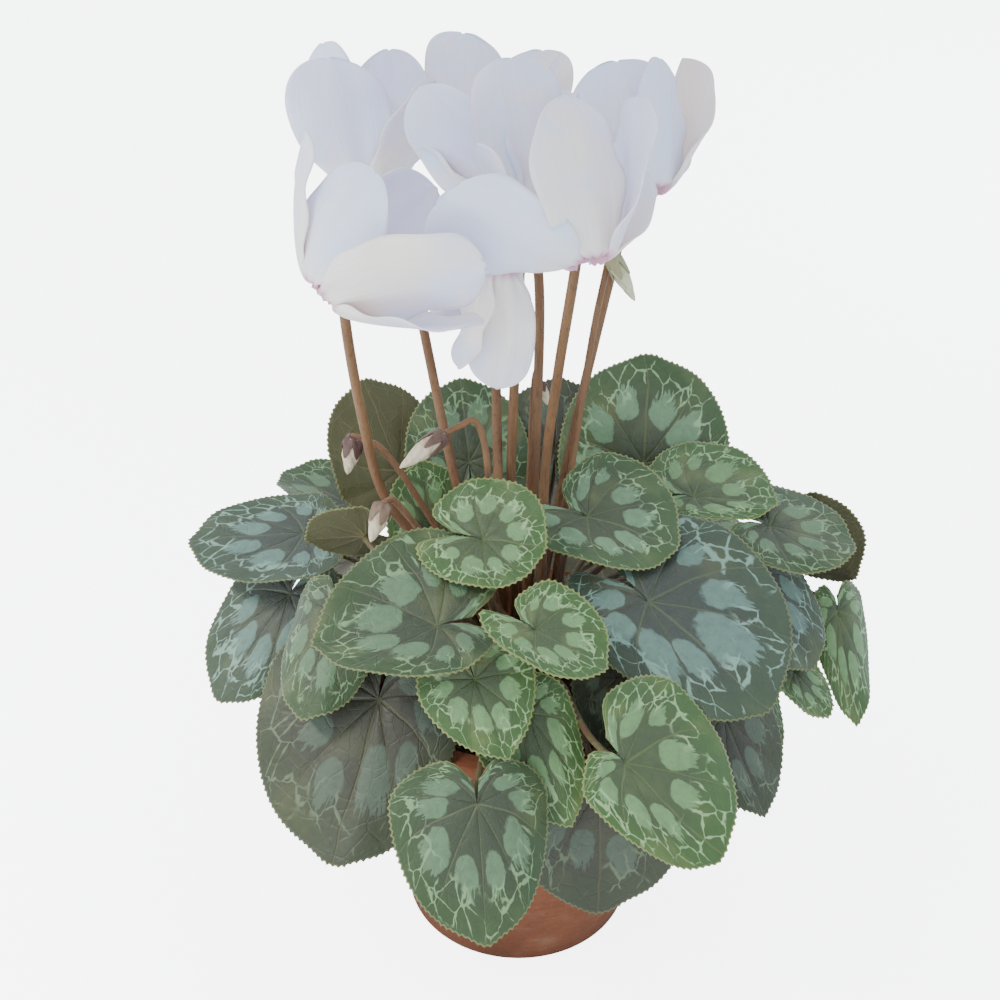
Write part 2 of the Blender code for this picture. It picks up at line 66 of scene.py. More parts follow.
def toMetres(points):
    # millimetres about the plant's axis become metres about the middle of its spread
    return (np.asarray(points, float) - plantShift) * mm


def addObject(name, data):
    # an object that holds the data, in the scene's own collection
    thing = bpy.data.objects.new(name, data)
    bpy.context.scene.collection.objects.link(thing)
    return thing


cameraSettings = {"offset": (-0.009, -0.53, 0.535), "downTilt": 30.2, "lens": 50.4}


def addCamera(settings):
    # the camera stands in front of and above the pot's axis and looks down on the leaves by the tilt
    low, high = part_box("pot")
    data = bpy.data.cameras.new("studioCamera")
    data.lens = settings["lens"]
    data.sensor_width = 36.0
    camera = addObject("studioCamera", data)
    dx, dy, dz = settings["offset"]
    camera.location = ((low.x + high.x) / 2 + dx, (low.y + high.y) / 2 + dy, dz)
    camera.rotation_euler = (math.radians(90 - settings["downTilt"]), 0.0, 0.0)
    bpy.context.scene.camera = camera


addCamera(cameraSettings)
print("camera placed")


def unit(vectors):
    # each vector at length one
    length = np.linalg.norm(vectors, axis=-1, keepdims=True)
    return vectors / np.maximum(length, 1e-12)


def ripple(points, size, seed, waves=9):
    # a smooth random swell: the mean of sine waves of nearly one length that run in random directions
    rng = np.random.default_rng(seed)
    ways = unit(rng.normal(size=(waves, 3))) * (2 * math.pi / size) * rng.uniform(0.7, 1.5, (waves, 1))
    phases = rng.uniform(0, 2 * math.pi, waves)
    return np.sin(np.asarray(points) @ ways.T + phases).mean(axis=-1) * 2.2


def wholeTurn(steps):
    # angles evenly round a circle, without the last that meets the first
    return np.linspace(0, 2 * math.pi, steps, endpoint=False)


def joined(*columns):
    # arrays of matching shapes side by side along a new last axis
    return np.stack(np.broadcast_arrays(*columns), -1)


def gridQuads(index):
    # the four corners of each cell of a grid of vertex numbers, turned to face along column x row
    return np.stack([index[:-1, :-1], index[:-1, 1:], index[1:, 1:], index[1:, :-1]], -1).reshape(-1, 4)


def closedGrid(rows, columns):
    # the vertex numbers of a grid whose last column meets its first
    index = np.arange(rows * columns).reshape(rows, columns)
    return np.concatenate([index, index[:, :1]], axis=1)


def fan(point, edge, under=False):
    # triangles from a point to each step along an edge, which face the other way where the fan lies under
    first, second = (edge[:-1], edge[1:]) if under else (edge[1:], edge[:-1])
    return np.stack([np.full(len(edge) - 1, point), first, second], -1)


farFromEdge = 50.0  # mm, for a shell that has no margin


def part(points, faces, slot, flat=None, edge=None):
    # one closed shell: its points, its faces as arrays of corner numbers, and what its material reads:
    # its flat place (across, along, seed) and its distance in mm from the margin
    count = len(points)
    flat = np.zeros((count, 3)) if flat is None else flat.reshape(-1, 3)
    edge = np.full(count, farFromEdge) if edge is None else edge.reshape(-1)
    each = slot if isinstance(slot, list) else [slot] * len(faces)
    slots = [np.full(len(f), number) for f, number in zip(faces, each)]
    return {"points": points, "faces": faces, "slots": slots, "flat": flat, "edge": edge}


def sheet(middle, thickness, slots, flat, edge=None, pole=None):
    # A skin on each side of a middle grid, half its thickness away along the grid's normal, and a rim round
    # it. With a pole the first row closes on that point by a fan, and the rim goes round the fan's sides.
    normal = unit(np.cross(np.gradient(middle, axis=1), np.gradient(middle, axis=0)))
    rows, columns = middle.shape[:2]
    half = np.broadcast_to(thickness, (rows, columns))[..., None] / 2
    edge = np.full((rows, columns), farFromEdge) if edge is None else edge
    upper, lower = middle + normal * half, middle - normal * half
    top = np.arange(rows * columns).reshape(rows, columns)
    bottom = top + rows * columns
    points = [upper.reshape(-1, 3), lower.reshape(-1, 3)]
    rim = [
        np.stack([top[-1, :-1], top[-1, 1:], bottom[-1, 1:], bottom[-1, :-1]], -1),
        np.stack([top[1:, 0], bottom[1:, 0], bottom[:-1, 0], top[:-1, 0]], -1),
        np.stack([top[:-1, -1], bottom[:-1, -1], bottom[1:, -1], top[1:, -1]], -1),
    ]
    faces, used = [gridQuads(top), gridQuads(bottom)[:, ::-1]], [slots[0], slots[1]]
    flats, edges = [flat.reshape(-1, 3)] * 2, [edge.reshape(-1)] * 2
    if pole is None:
        rim.append(np.stack([top[0, 1:], top[0, :-1], bottom[0, :-1], bottom[0, 1:]], -1))
    else:
        up = unit(normal[0].mean(axis=0)) * half[0].mean()
        points.append(np.stack([pole + up, pole - up]))
        high, low = 2 * rows * columns, 2 * rows * columns + 1
        faces += [fan(high, top[0]), fan(low, bottom[0], under=True)]
        used += [slots[0], slots[1]]
        rim.append(np.array([[top[0, 0], bottom[0, 0], low, high]]))
        rim.append(np.array([[high, low, bottom[0, -1], top[0, -1]]]))
        flats.append(np.repeat(flat[0].mean(axis=0)[None] * [0, 0, 1], 2, axis=0))
        edges.append(np.full(2, edge[0].max()))
    faces += rim
    used += [slots[2]] * len(rim)
    return part(np.concatenate(points), faces, used, np.concatenate(flats), np.concatenate(edges))


def tubeFrames(path, guide):
    # the way along a path and two ways across it: the first is the guide less its share along the path
    way = unit(np.gradient(path, axis=0))
    guide = np.broadcast_to(guide, path.shape)
    across = unit(guide - way * (guide * way).sum(-1, keepdims=True))
    return way, across, np.cross(way, across)


def tube(path, radii, guide, sides, slot, flatSeed=0.0, lobes=None):
    # circles of given radii carried along a path; each end is closed on the path's own end point
    _, across, other = tubeFrames(path, guide)
    turn = wholeTurn(sides)
    radius = np.asarray(radii)[:, None] * (np.ones(sides) if lobes is None else lobes)
    ring = across[:, None] * np.cos(turn)[None, :, None] + other[:, None] * np.sin(turn)[None, :, None]
    skin = path[:, None] + ring * radius[..., None]
    rows = len(path)
    around = closedGrid(rows, sides)
    caps = [fan(rows * sides, around[0]), fan(rows * sides + 1, around[-1], under=True)]
    flat = joined(turn / (2 * math.pi), np.linspace(0, 1, rows)[:, None], flatSeed)
    flat = np.concatenate([flat.reshape(-1, 3), [[0, 0, flatSeed], [0, 1, flatSeed]]])
    points = np.concatenate([skin.reshape(-1, 3), path[:1], path[-1:]])
    return part(points, [gridQuads(around)] + caps, slot, flat)


def turned(profile, steps, slot, shape=None):
    # a closed profile of (radius, height), first and last on the axis or the same point, carried round Z
    profile = np.asarray(profile, float)
    turn = wholeTurn(steps)
    rows = len(profile)
    out, up = profile[:, :1], profile[:, 1:]
    skin = joined(out * np.cos(turn), out * np.sin(turn), up)
    if shape is not None:
        skin = shape(skin)
    around = closedGrid(rows, steps)
    points = skin.reshape(-1, 3)
    if profile[0, 0] < 1e-6:  # both ends lie on the axis
        faces = [gridQuads(around[1:-1]), fan(0, around[1]), fan(around[-1, 0], around[-2], under=True)]
    else:
        faces = [gridQuads(around), gridQuads(around[[-1, 0]])]
    used = np.unique(np.concatenate([f.reshape(-1) for f in faces]))
    renumber = np.zeros(len(points), int)
    renumber[used] = np.arange(len(used))
    return part(points[used], [renumber[f] for f in faces], slot)


def fill(block, title, values, kind=np.int32):
    # sets one property of every element of a mesh's block
    block.foreach_set(title, np.asarray(values).astype(kind).ravel())


def putTogether(name, parts, materials):
    # the shells' points and faces, one after another, become one smooth-shaded mesh with its two attributes
    mesh = bpy.data.meshes.new(name)
    points = np.concatenate([p["points"] for p in parts])
    starts = np.cumsum([0] + [len(p["points"]) for p in parts[:-1]])
    faces = [f + start for p, start in zip(parts, starts) for f in p["faces"]]
    slots = np.concatenate([s for p in parts for s in p["slots"]])
    sizes = np.concatenate([np.full(len(f), f.shape[1]) for f in faces])
    corners = np.concatenate([f.reshape(-1) for f in faces])
    mesh.vertices.add(len(points))
    fill(mesh.vertices, "co", toMetres(points), np.float32)
    mesh.loops.add(len(corners))
    fill(mesh.loops, "vertex_index", corners)
    mesh.polygons.add(len(sizes))
    fill(mesh.polygons, "loop_start", np.concatenate([[0], np.cumsum(sizes)[:-1]]))
    fill(mesh.polygons, "loop_total", sizes)
    fill(mesh.polygons, "material_index", slots)
    fill(mesh.polygons, "use_smooth", np.ones(len(sizes)), bool)
    mesh.update(calc_edges=True)
    flat = mesh.attributes.new("flat", "FLOAT_VECTOR", "POINT")
    fill(flat.data, "vector", np.concatenate([p["flat"] for p in parts]), np.float32)
    edge = mesh.attributes.new("edge", "FLOAT", "POINT")
    fill(edge.data, "value", np.concatenate([p["edge"] for p in parts]), np.float32)
    for material in materials:
        mesh.materials.append(material)
    return addObject(name, mesh)


def settle(piece, node):
    # the piece moves with the plant's only body and stands for its CAD node
    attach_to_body(piece, "root")
    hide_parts(node)
    return piece


def srgb(red, green, blue):
    # a screen colour from 0 to 255 as the linear colour that a shader takes
    values = np.array([red, green, blue]) / 255
    linear = np.where(values <= 0.04045, values / 12.92, ((values + 0.055) / 1.055) ** 2.4)
    return (*[float(v) for v in linear], 1.0)


class Wire:
    # a node's output that can stand in a sum: each operator adds one Math node to the tree that it lies in
    def __init__(self, socket):
        self.socket = socket
        self.tree = socket.id_data

    def __add__(self, other):
        return calc("ADD", self, other)

    def __radd__(self, other):
        return calc("ADD", other, self)

    def __sub__(self, other):
        return calc("SUBTRACT", self, other)

    def __rsub__(self, other):
        return calc("SUBTRACT", other, self)

    def __mul__(self, other):
        return calc("MULTIPLY", self, other)

    def __truediv__(self, other):
        return calc("DIVIDE", self, other)

    def __abs__(self):
        return calc("ABSOLUTE", self)

    def __round__(self):
        return calc("ROUND", self)

    def __floor__(self):
        return calc("FLOOR", self)


def put(socket, value):
    # a wire is linked to the socket, and a plain value is set on it
    if isinstance(value, Wire):
        value.tree.links.new(value.socket, socket)
    elif isinstance(value, tuple):
        socket.default_value = value[: len(socket.default_value)]
    else:
        socket.default_value = value


def give(sockets, **values):
    # fills sockets by name; an underscore stands for a space
    for title, value in values.items():
        put(sockets[title.replace("_", " ")], value)


def newNode(kind, values, **choices):
    # a node in the tree of the first wire among its values; its choices are set before its sockets
    values = values if isinstance(values, dict) else dict(enumerate(values))
    tree = next(value.tree for value in values.values() if isinstance(value, Wire))
    node = tree.nodes.new("ShaderNode" + kind)
    for title, choice in choices.items():
        setattr(node, title, choice)
    for place, value in values.items():
        put(node.inputs[place], value)
    return node


def calc(operation, *values, clamp=False):
    # one Math node
    return Wire(newNode("Math", values, operation=operation, use_clamp=clamp).outputs[0])


def smooth(value, low, high, fromValue=0.0, toValue=1.0):
    # rises smoothly from one value to the other as the input goes from low to high
    values = (value, low, high, fromValue, toValue)
    return Wire(newNode("MapRange", values, interpolation_type="SMOOTHSTEP").outputs[0])


def blendColour(mask, first, second, kind="MIX"):
    # the Mix node keeps its colour sockets at 6 and 7
    values = {0: mask, 6: first, 7: second}
    return Wire(newNode("Mix", values, data_type="RGBA", blend_type=kind).outputs[2])


def layered(colour, *coats):
    # each coat's tint is laid over what is there, as far as the coat's mask says
    for mask, tint in coats:
        colour = blendColour(mask, colour, tint)
    return colour


def vector(x, y, z):
    return Wire(newNode("CombineXYZ", (x, y, z)).outputs[0])


def split(value):
    return [Wire(socket) for socket in newNode("SeparateXYZ", (value,)).outputs]


def noise(where, scale, detail=3.0, roughness=0.55):
    values = {"Vector": where, "Scale": scale, "Detail": detail, "Roughness": roughness}
    return Wire(newNode("TexNoise", values).outputs["Fac"])


def cells(where, scale, feature="DISTANCE_TO_EDGE"):
    node = newNode("TexVoronoi", {"Vector": where, "Scale": scale}, feature=feature)
    return Wire(node.outputs["Distance"])


def stretch(where, scale, shift=(0.0, 0.0, 0.0)):
    return Wire(newNode("Mapping", {"Vector": where, "Location": shift, "Scale": scale}).outputs[0])


def wires(sockets):
    return {socket.name: Wire(socket) for socket in sockets}


def newGroup(name, inputs, outputs):
    # a shader node group with named sockets; returns it with the wires it is given and the sockets it fills
    group = bpy.data.node_groups.new(name, "ShaderNodeTree")
    for side, sockets in (("INPUT", inputs), ("OUTPUT", outputs)):
        for title, kind in sockets.items():
            group.interface.new_socket(name=title, in_out=side, socket_type="NodeSocket" + kind)
    given, result = group.nodes.new("NodeGroupInput"), group.nodes.new("NodeGroupOutput")
    return group, wires(given.outputs), result.inputs


def useGroup(group, **values):
    # a group's node, filled by socket name; returns its outputs by name
    return wires(newNode("Group", values, node_tree=group).outputs)


def newMaterial(name, **fixed):
    # a plain Principled material; constants go straight on its sockets
    material = bpy.data.materials.new(name)
    material.use_nodes = True
    tree = material.node_tree
    shader = tree.nodes["Principled BSDF"]
    give(shader.inputs, **fixed)
    return material, tree, shader


def attribute(tree, name, output):
    # what the mesh stores at each point under a name
    node = tree.nodes.new("ShaderNodeAttribute")
    node.attribute_name = name
    return Wire(node.outputs[output])


def objectPlace(tree):
    return Wire(tree.nodes.new("ShaderNodeTexCoord").outputs["Object"])


def cameraSees(tree):
    return Wire(tree.nodes.new("ShaderNodeLightPath").outputs["Is Camera Ray"])


def applyFinish(shader, colour, roughness, height, strength, depth):
    # the three things that change over a surface: its colour, roughness and relief (depth in metres)
    relief = newNode("Bump", {"Strength": strength, "Distance": depth, "Height": height})
    give(shader.inputs, Base_Color=colour, Roughness=roughness, Normal=Wire(relief.outputs[0]))


finishSockets = {"Colour": "Color", "Roughness": "Float", "Height": "Float"}

veinCount = 9  # main veins of a blade, evenly spread about its petiole
veinCurl = 0.14  # how much a main vein swings towards the tip
sectorAngle = 2 * math.pi / veinCount


def makeVeinWeb():
    # Polar place on the blade: the angle from the tip times (1 + curl x reach squared) is cut into sectors
    # with a main vein on each whole number. Its mask is 1 where the way across to it is under its width.
    outputs = dict.fromkeys(("Sector", "Reach", "Main", "Web"), "Float")
    group, given, result = newGroup("veinWeb", {"Flat": "Vector"}, outputs)
    x, y, seed = split(given["Flat"])
    wobble = noise(vector(x * 2.2, y * 2.2, seed), 1.0, 2.0)
    reach = calc("SQRT", x * x + y * y)
    angle = calc("ARCTAN2", x, y)
    swing = reach * reach * veinCurl + 1.0
    sector = angle * swing * (1 / sectorAngle) + (wobble - 0.5) * 0.22
    away = abs(sector - round(sector)) * reach * sectorAngle
    width = reach * -0.011 + 0.018  # finer towards the margin
    main = 1.0 - smooth(away, width * 0.35, width)
    fine = vector(sector * 2.1, reach * 7.0, seed)
    web = 1.0 - smooth(cells(fine, 1.0), 0.01, 0.06)
    give(result, Sector=sector, Reach=reach, Main=main, Web=web)
    return group


markSettings = {
    # each pair is the least value and how much one blotch may have above it, as shares of the blade
    "blotchMiddle": (0.43, 0.26),
    "blotchLong": (0.075, 0.20),
    "blotchBroad": (0.075, 0.14),
    "blotchTorn": (0.82, 1.12),
    "streakPull": 4.0,
    "lumpPull": 1.5,
    "linesAcross": 3.0,  # cells to a sector
    "linesAlong": 5.0,
    "lineWidth": (0.085, 0.04),  # by the blotch and by the margin
    "lineZone": (0.54, 0.66, 0.93, 0.985),  # where the lines fade in and out
    "sunny": 0.3,
    "blotchStrength": 0.70,
    "lineStrength": 0.85,
    "veinStrength": 0.8,
    "marginWidth": (0.45, 1.05),  # mm
    "marginStrength": 0.85,
}


def above(pair, share):
    # the pair's least value, plus a share of how much may lie above it
    return share * pair[1] + pair[0]


def makeLeafMarks(veinWeb):
    # Between two main veins lies a silver blotch: an oval with a smooth inner end and an outer end that
    # streaks tear. Beyond it, the walls of random long cells are drawn as branching silver lines that thin
    # out towards the margin. The margin itself is a thin pale edge.
    s = markSettings
    inputs = {"Flat": "Vector", "Edge": "Float", "Place": "Vector", "Lines": "Float"}
    inputs.update(dict.fromkeys(("Centre", "Outer", "Blotch", "Line", "Vein", "Rim"), "Color"))
    group, given, result = newGroup("leafMarks", inputs, finishSockets)
    x, y, seed = split(given["Flat"])
    web = useGroup(veinWeb, Flat=given["Flat"])
    sector, reach = web["Sector"], web["Reach"]
    cell = math.floor(sector)
    inCell = sector - cell - 0.5
    # each sector has its own blotch size and distance
    own = noise(vector(cell * 7.3, seed, 0.0), 1.0, 0.0)
    ownSize = noise(vector(cell * 5.1, seed, 9.0), 1.0, 0.0)
    middle = above(s["blotchMiddle"], own)
    long, broad = above(s["blotchLong"], ownSize), above(s["blotchBroad"], ownSize)
    streakPlace = vector(sector * 15.0, reach * 6.0, seed)
    streak = noise(streakPlace, 1.0, 3.0, 0.65) - 0.5
    beyond = smooth(reach - middle, -0.03, 0.12)
    outward = (reach - middle) / long
    aside = inCell * reach * sectorAngle / broad
    oval = outward * outward + aside * aside
    lump = noise(given["Flat"], 6.0, 3.0) - 0.5
    torn = streak * beyond * s["streakPull"] + lump * s["lumpPull"] + oval
    blotch = 1.0 - smooth(torn, *s["blotchTorn"])
    # branching lines
    lineWarp = (noise(given["Flat"], 7.0, 2.0) - 0.5) * 0.5
    linePlace = vector(sector * s["linesAcross"] + lineWarp, reach * s["linesAlong"] + lineWarp, seed)
    wall = cells(linePlace, 1.0)
    knots = smooth(noise(given["Flat"], 13.0, 1.0), 0.42, 0.68, 0.55, 1.7)
    lineWidth = smooth(reach, 0.58, 0.95, *s["lineWidth"]) * knots
    lines = 1.0 - smooth(wall, lineWidth * 0.35, lineWidth)
    patchy = noise(vector(sector * 1.4, reach * 4.0, seed + 4.0), 1.0, 1.0)
    kept = smooth(patchy + given["Lines"], 0.90, 1.0)
    zone = smooth(reach, *s["lineZone"][:2]) * (1.0 - smooth(reach, *s["lineZone"][2:]))
    lines = lines * kept * zone
    # colours
    mottle = noise(given["Place"], 260.0, 4.0, 0.6)
    cloud = noise(given["Flat"], 2.6, 3.0)
    green = smooth(cloud * 0.35 + reach, 0.66, 1.06)
    colour = blendColour(green, given["Centre"], given["Outer"])
    sunny = smooth(noise(vector(x, y, seed + 7.0), 1.5, 2.0), 0.5, 0.75)
    colour = blendColour(sunny * s["sunny"], colour, given["Rim"])
    shade = mottle * 0.5 + 0.76
    colour = blendColour(1.0, colour, vector(shade, shade, shade), "MULTIPLY")
    speckle = smooth(mottle, 0.30, 0.62)
    band = 1.0 - smooth(given["Edge"], *s["marginWidth"])
    colour = layered(
        colour,
        (blotch * (speckle * 0.25 + s["blotchStrength"]), given["Blotch"]),
        (lines * s["lineStrength"], given["Line"]),
        (web["Main"] * s["veinStrength"], given["Vein"]),
        (band * s["marginStrength"], given["Rim"]),
    )
    # fine quilting between the small veins
    quilt = cells(given["Place"], 430.0, "SMOOTH_F1")
    height = web["Main"] * -0.9 + web["Web"] * -0.35 + quilt * -0.5 + mottle * 0.25
    give(result, Colour=colour, Roughness=mottle * 0.16 + 0.42, Height=height)
    return group


veinWeb = makeVeinWeb()
leafMarks = makeLeafMarks(veinWeb)

leafFinishes = {
    "fresh": {
        "Centre": srgb(59, 74, 41), "Outer": srgb(56, 85, 34), "Blotch": srgb(104, 139, 88),
        "Line": srgb(142, 174, 120), "Vein": srgb(83, 97, 50), "Rim": srgb(131, 139, 76), "Lines": 0.54,
    },
    "mature": {
        "Centre": srgb(50, 59, 38), "Outer": srgb(48, 68, 32), "Blotch": srgb(88, 116, 82),
        "Line": srgb(119, 149, 103), "Vein": srgb(77, 85, 50), "Rim": srgb(113, 119, 67), "Lines": 0.50,
    },
    # blue: greyer, bluer greens, partly the leaves' own grey-green and partly painted reflection of the
    # blue sky
    "blue": {
        "Centre": srgb(52, 59, 49), "Outer": srgb(52, 67, 45), "Blotch": srgb(94, 121, 108),
        "Line": srgb(124, 156, 138), "Vein": srgb(76, 85, 59), "Rim": srgb(103, 108, 63), "Lines": 0.54,
    },
    "pale": {
        "Centre": srgb(60, 70, 46), "Outer": srgb(57, 80, 40), "Blotch": srgb(105, 138, 101),
        "Line": srgb(140, 172, 124), "Vein": srgb(88, 97, 57), "Rim": srgb(127, 134, 76), "Lines": 0.50,
    },
    # shade: duller, darker copies of the leaf colours, painted shade for the leaves that lie deep in the
    # plant
    "shade": {
        "Centre": srgb(49, 49, 34), "Outer": srgb(49, 56, 31), "Blotch": srgb(72, 86, 68),
        "Line": srgb(92, 106, 78), "Vein": srgb(70, 70, 43), "Rim": srgb(88, 92, 50), "Lines": 0.48,
    },
}


def makeLeafMaterial(name, finish):
    # a slightly satin blade that wears the leaf marks in one finish
    gloss = {"Specular_IOR_Level": 0.45, "Sheen_Weight": 0.12, "Sheen_Roughness": 0.5}
    material, tree, shader = newMaterial(name, **gloss)
    marks = useGroup(
        leafMarks,
        Flat=attribute(tree, "flat", "Vector"),
        Edge=attribute(tree, "edge", "Fac"),
        Place=objectPlace(tree),
        **finish,
    )
    applyFinish(shader, marks["Colour"], marks["Roughness"], marks["Height"], 0.5, 0.0006)
    return material


undersideTints = {
    "flesh": (srgb(65, 67, 38), srgb(86, 83, 52)),
    "web": srgb(94, 94, 59),
    "vein": srgb(108, 97, 67),
    "rim": srgb(115, 115, 68),
}


def makeUndersideMaterial():
    # olive flesh with raised paler veins and a soft mottle
    tints = undersideTints
    material, tree, shader = newMaterial("leafUnderside", Specular_IOR_Level=0.35)
    web = useGroup(veinWeb, Flat=attribute(tree, "flat", "Vector"))
    cloud = noise(objectPlace(tree), 90.0, 4.0)
    band = 1.0 - smooth(attribute(tree, "edge", "Fac"), *markSettings["marginWidth"])
    colour = layered(
        blendColour(cloud, *tints["flesh"]),
        (web["Web"] * 0.35, tints["web"]),
        (web["Main"] * 0.8, tints["vein"]),
        (band * 0.7, tints["rim"]),
    )
    applyFinish(shader, colour, cloud * 0.2 + 0.5, web["Main"] + web["Web"] * 0.4, 0.5, 0.0006)
    return material


def makeStemSkin():
    # fine lengthwise streaks and blotches of a second colour, for petioles and flower stalks
    inputs = {"Place": "Vector", "Main": "Color", "Second": "Color", "Dark": "Color"}
    group, given, result = newGroup("stemSkin", inputs, finishSockets)
    streaks = noise(stretch(given["Place"], (900.0, 900.0, 70.0)), 1.0, 3.0, 0.6)
    patches = noise(stretch(given["Place"], (60.0, 60.0, 22.0)), 1.0, 3.0)
    colour = blendColour(smooth(patches, 0.35, 0.65), given["Main"], given["Second"])
    colour = blendColour(smooth(streaks, 0.50, 0.72) * 0.45, colour, given["Dark"])
    give(result, Colour=colour, Roughness=streaks * 0.25 + 0.40, Height=streaks)
    return group


stemSkin = makeStemSkin()


def makeStemMaterial(name, main, second, dark):
    # the stem skin in its own three colours, for stalks, petioles and sepals
    material, tree, shader = newMaterial(name, Specular_IOR_Level=0.4)
    skin = useGroup(stemSkin, Place=objectPlace(tree), Main=main, Second=second, Dark=dark)
    applyFinish(shader, skin["Colour"], skin["Roughness"], skin["Height"], 0.4, 0.0004)
    return material


leafUppers = {name: makeLeafMaterial(name + "Leaf", finish) for name, finish in leafFinishes.items()}
leafUnderside = makeUndersideMaterial()
stemTints = {
    "petioleSkin": (srgb(88, 65, 43), srgb(92, 86, 54), srgb(61, 41, 31)),
    "stalkSkin": (srgb(110, 76, 47), srgb(123, 90, 58), srgb(70, 43, 31)),
    "calyxBrown": (srgb(68, 49, 40), srgb(83, 67, 47), srgb(41, 25, 25)),
    "sepalPurple": (srgb(86, 61, 54), srgb(119, 97, 79), srgb(49, 29, 31)),
    "sepalGreen": (srgb(150, 146, 108), srgb(172, 166, 128), srgb(112, 92, 66)),
}
stemSkins = {name: makeStemMaterial(name, *tints) for name, tints in stemTints.items()}
print("leaf and stem materials made")

stemSettings = {
    "gap": 0.3,  # between a stem's foot and the tuber, and round the soil
    "tuberRadius": 33.0,
    "tuberHalfHeight": 18.0,
    "tuberTop": 150.0,
    "rings": {"flower": 7.5, "top": 13.5, "middle": 20.0, "low": 27.0},  # how far out each kind starts
    "spacing": 5.0,
    "spreadingRounds": 400,
}

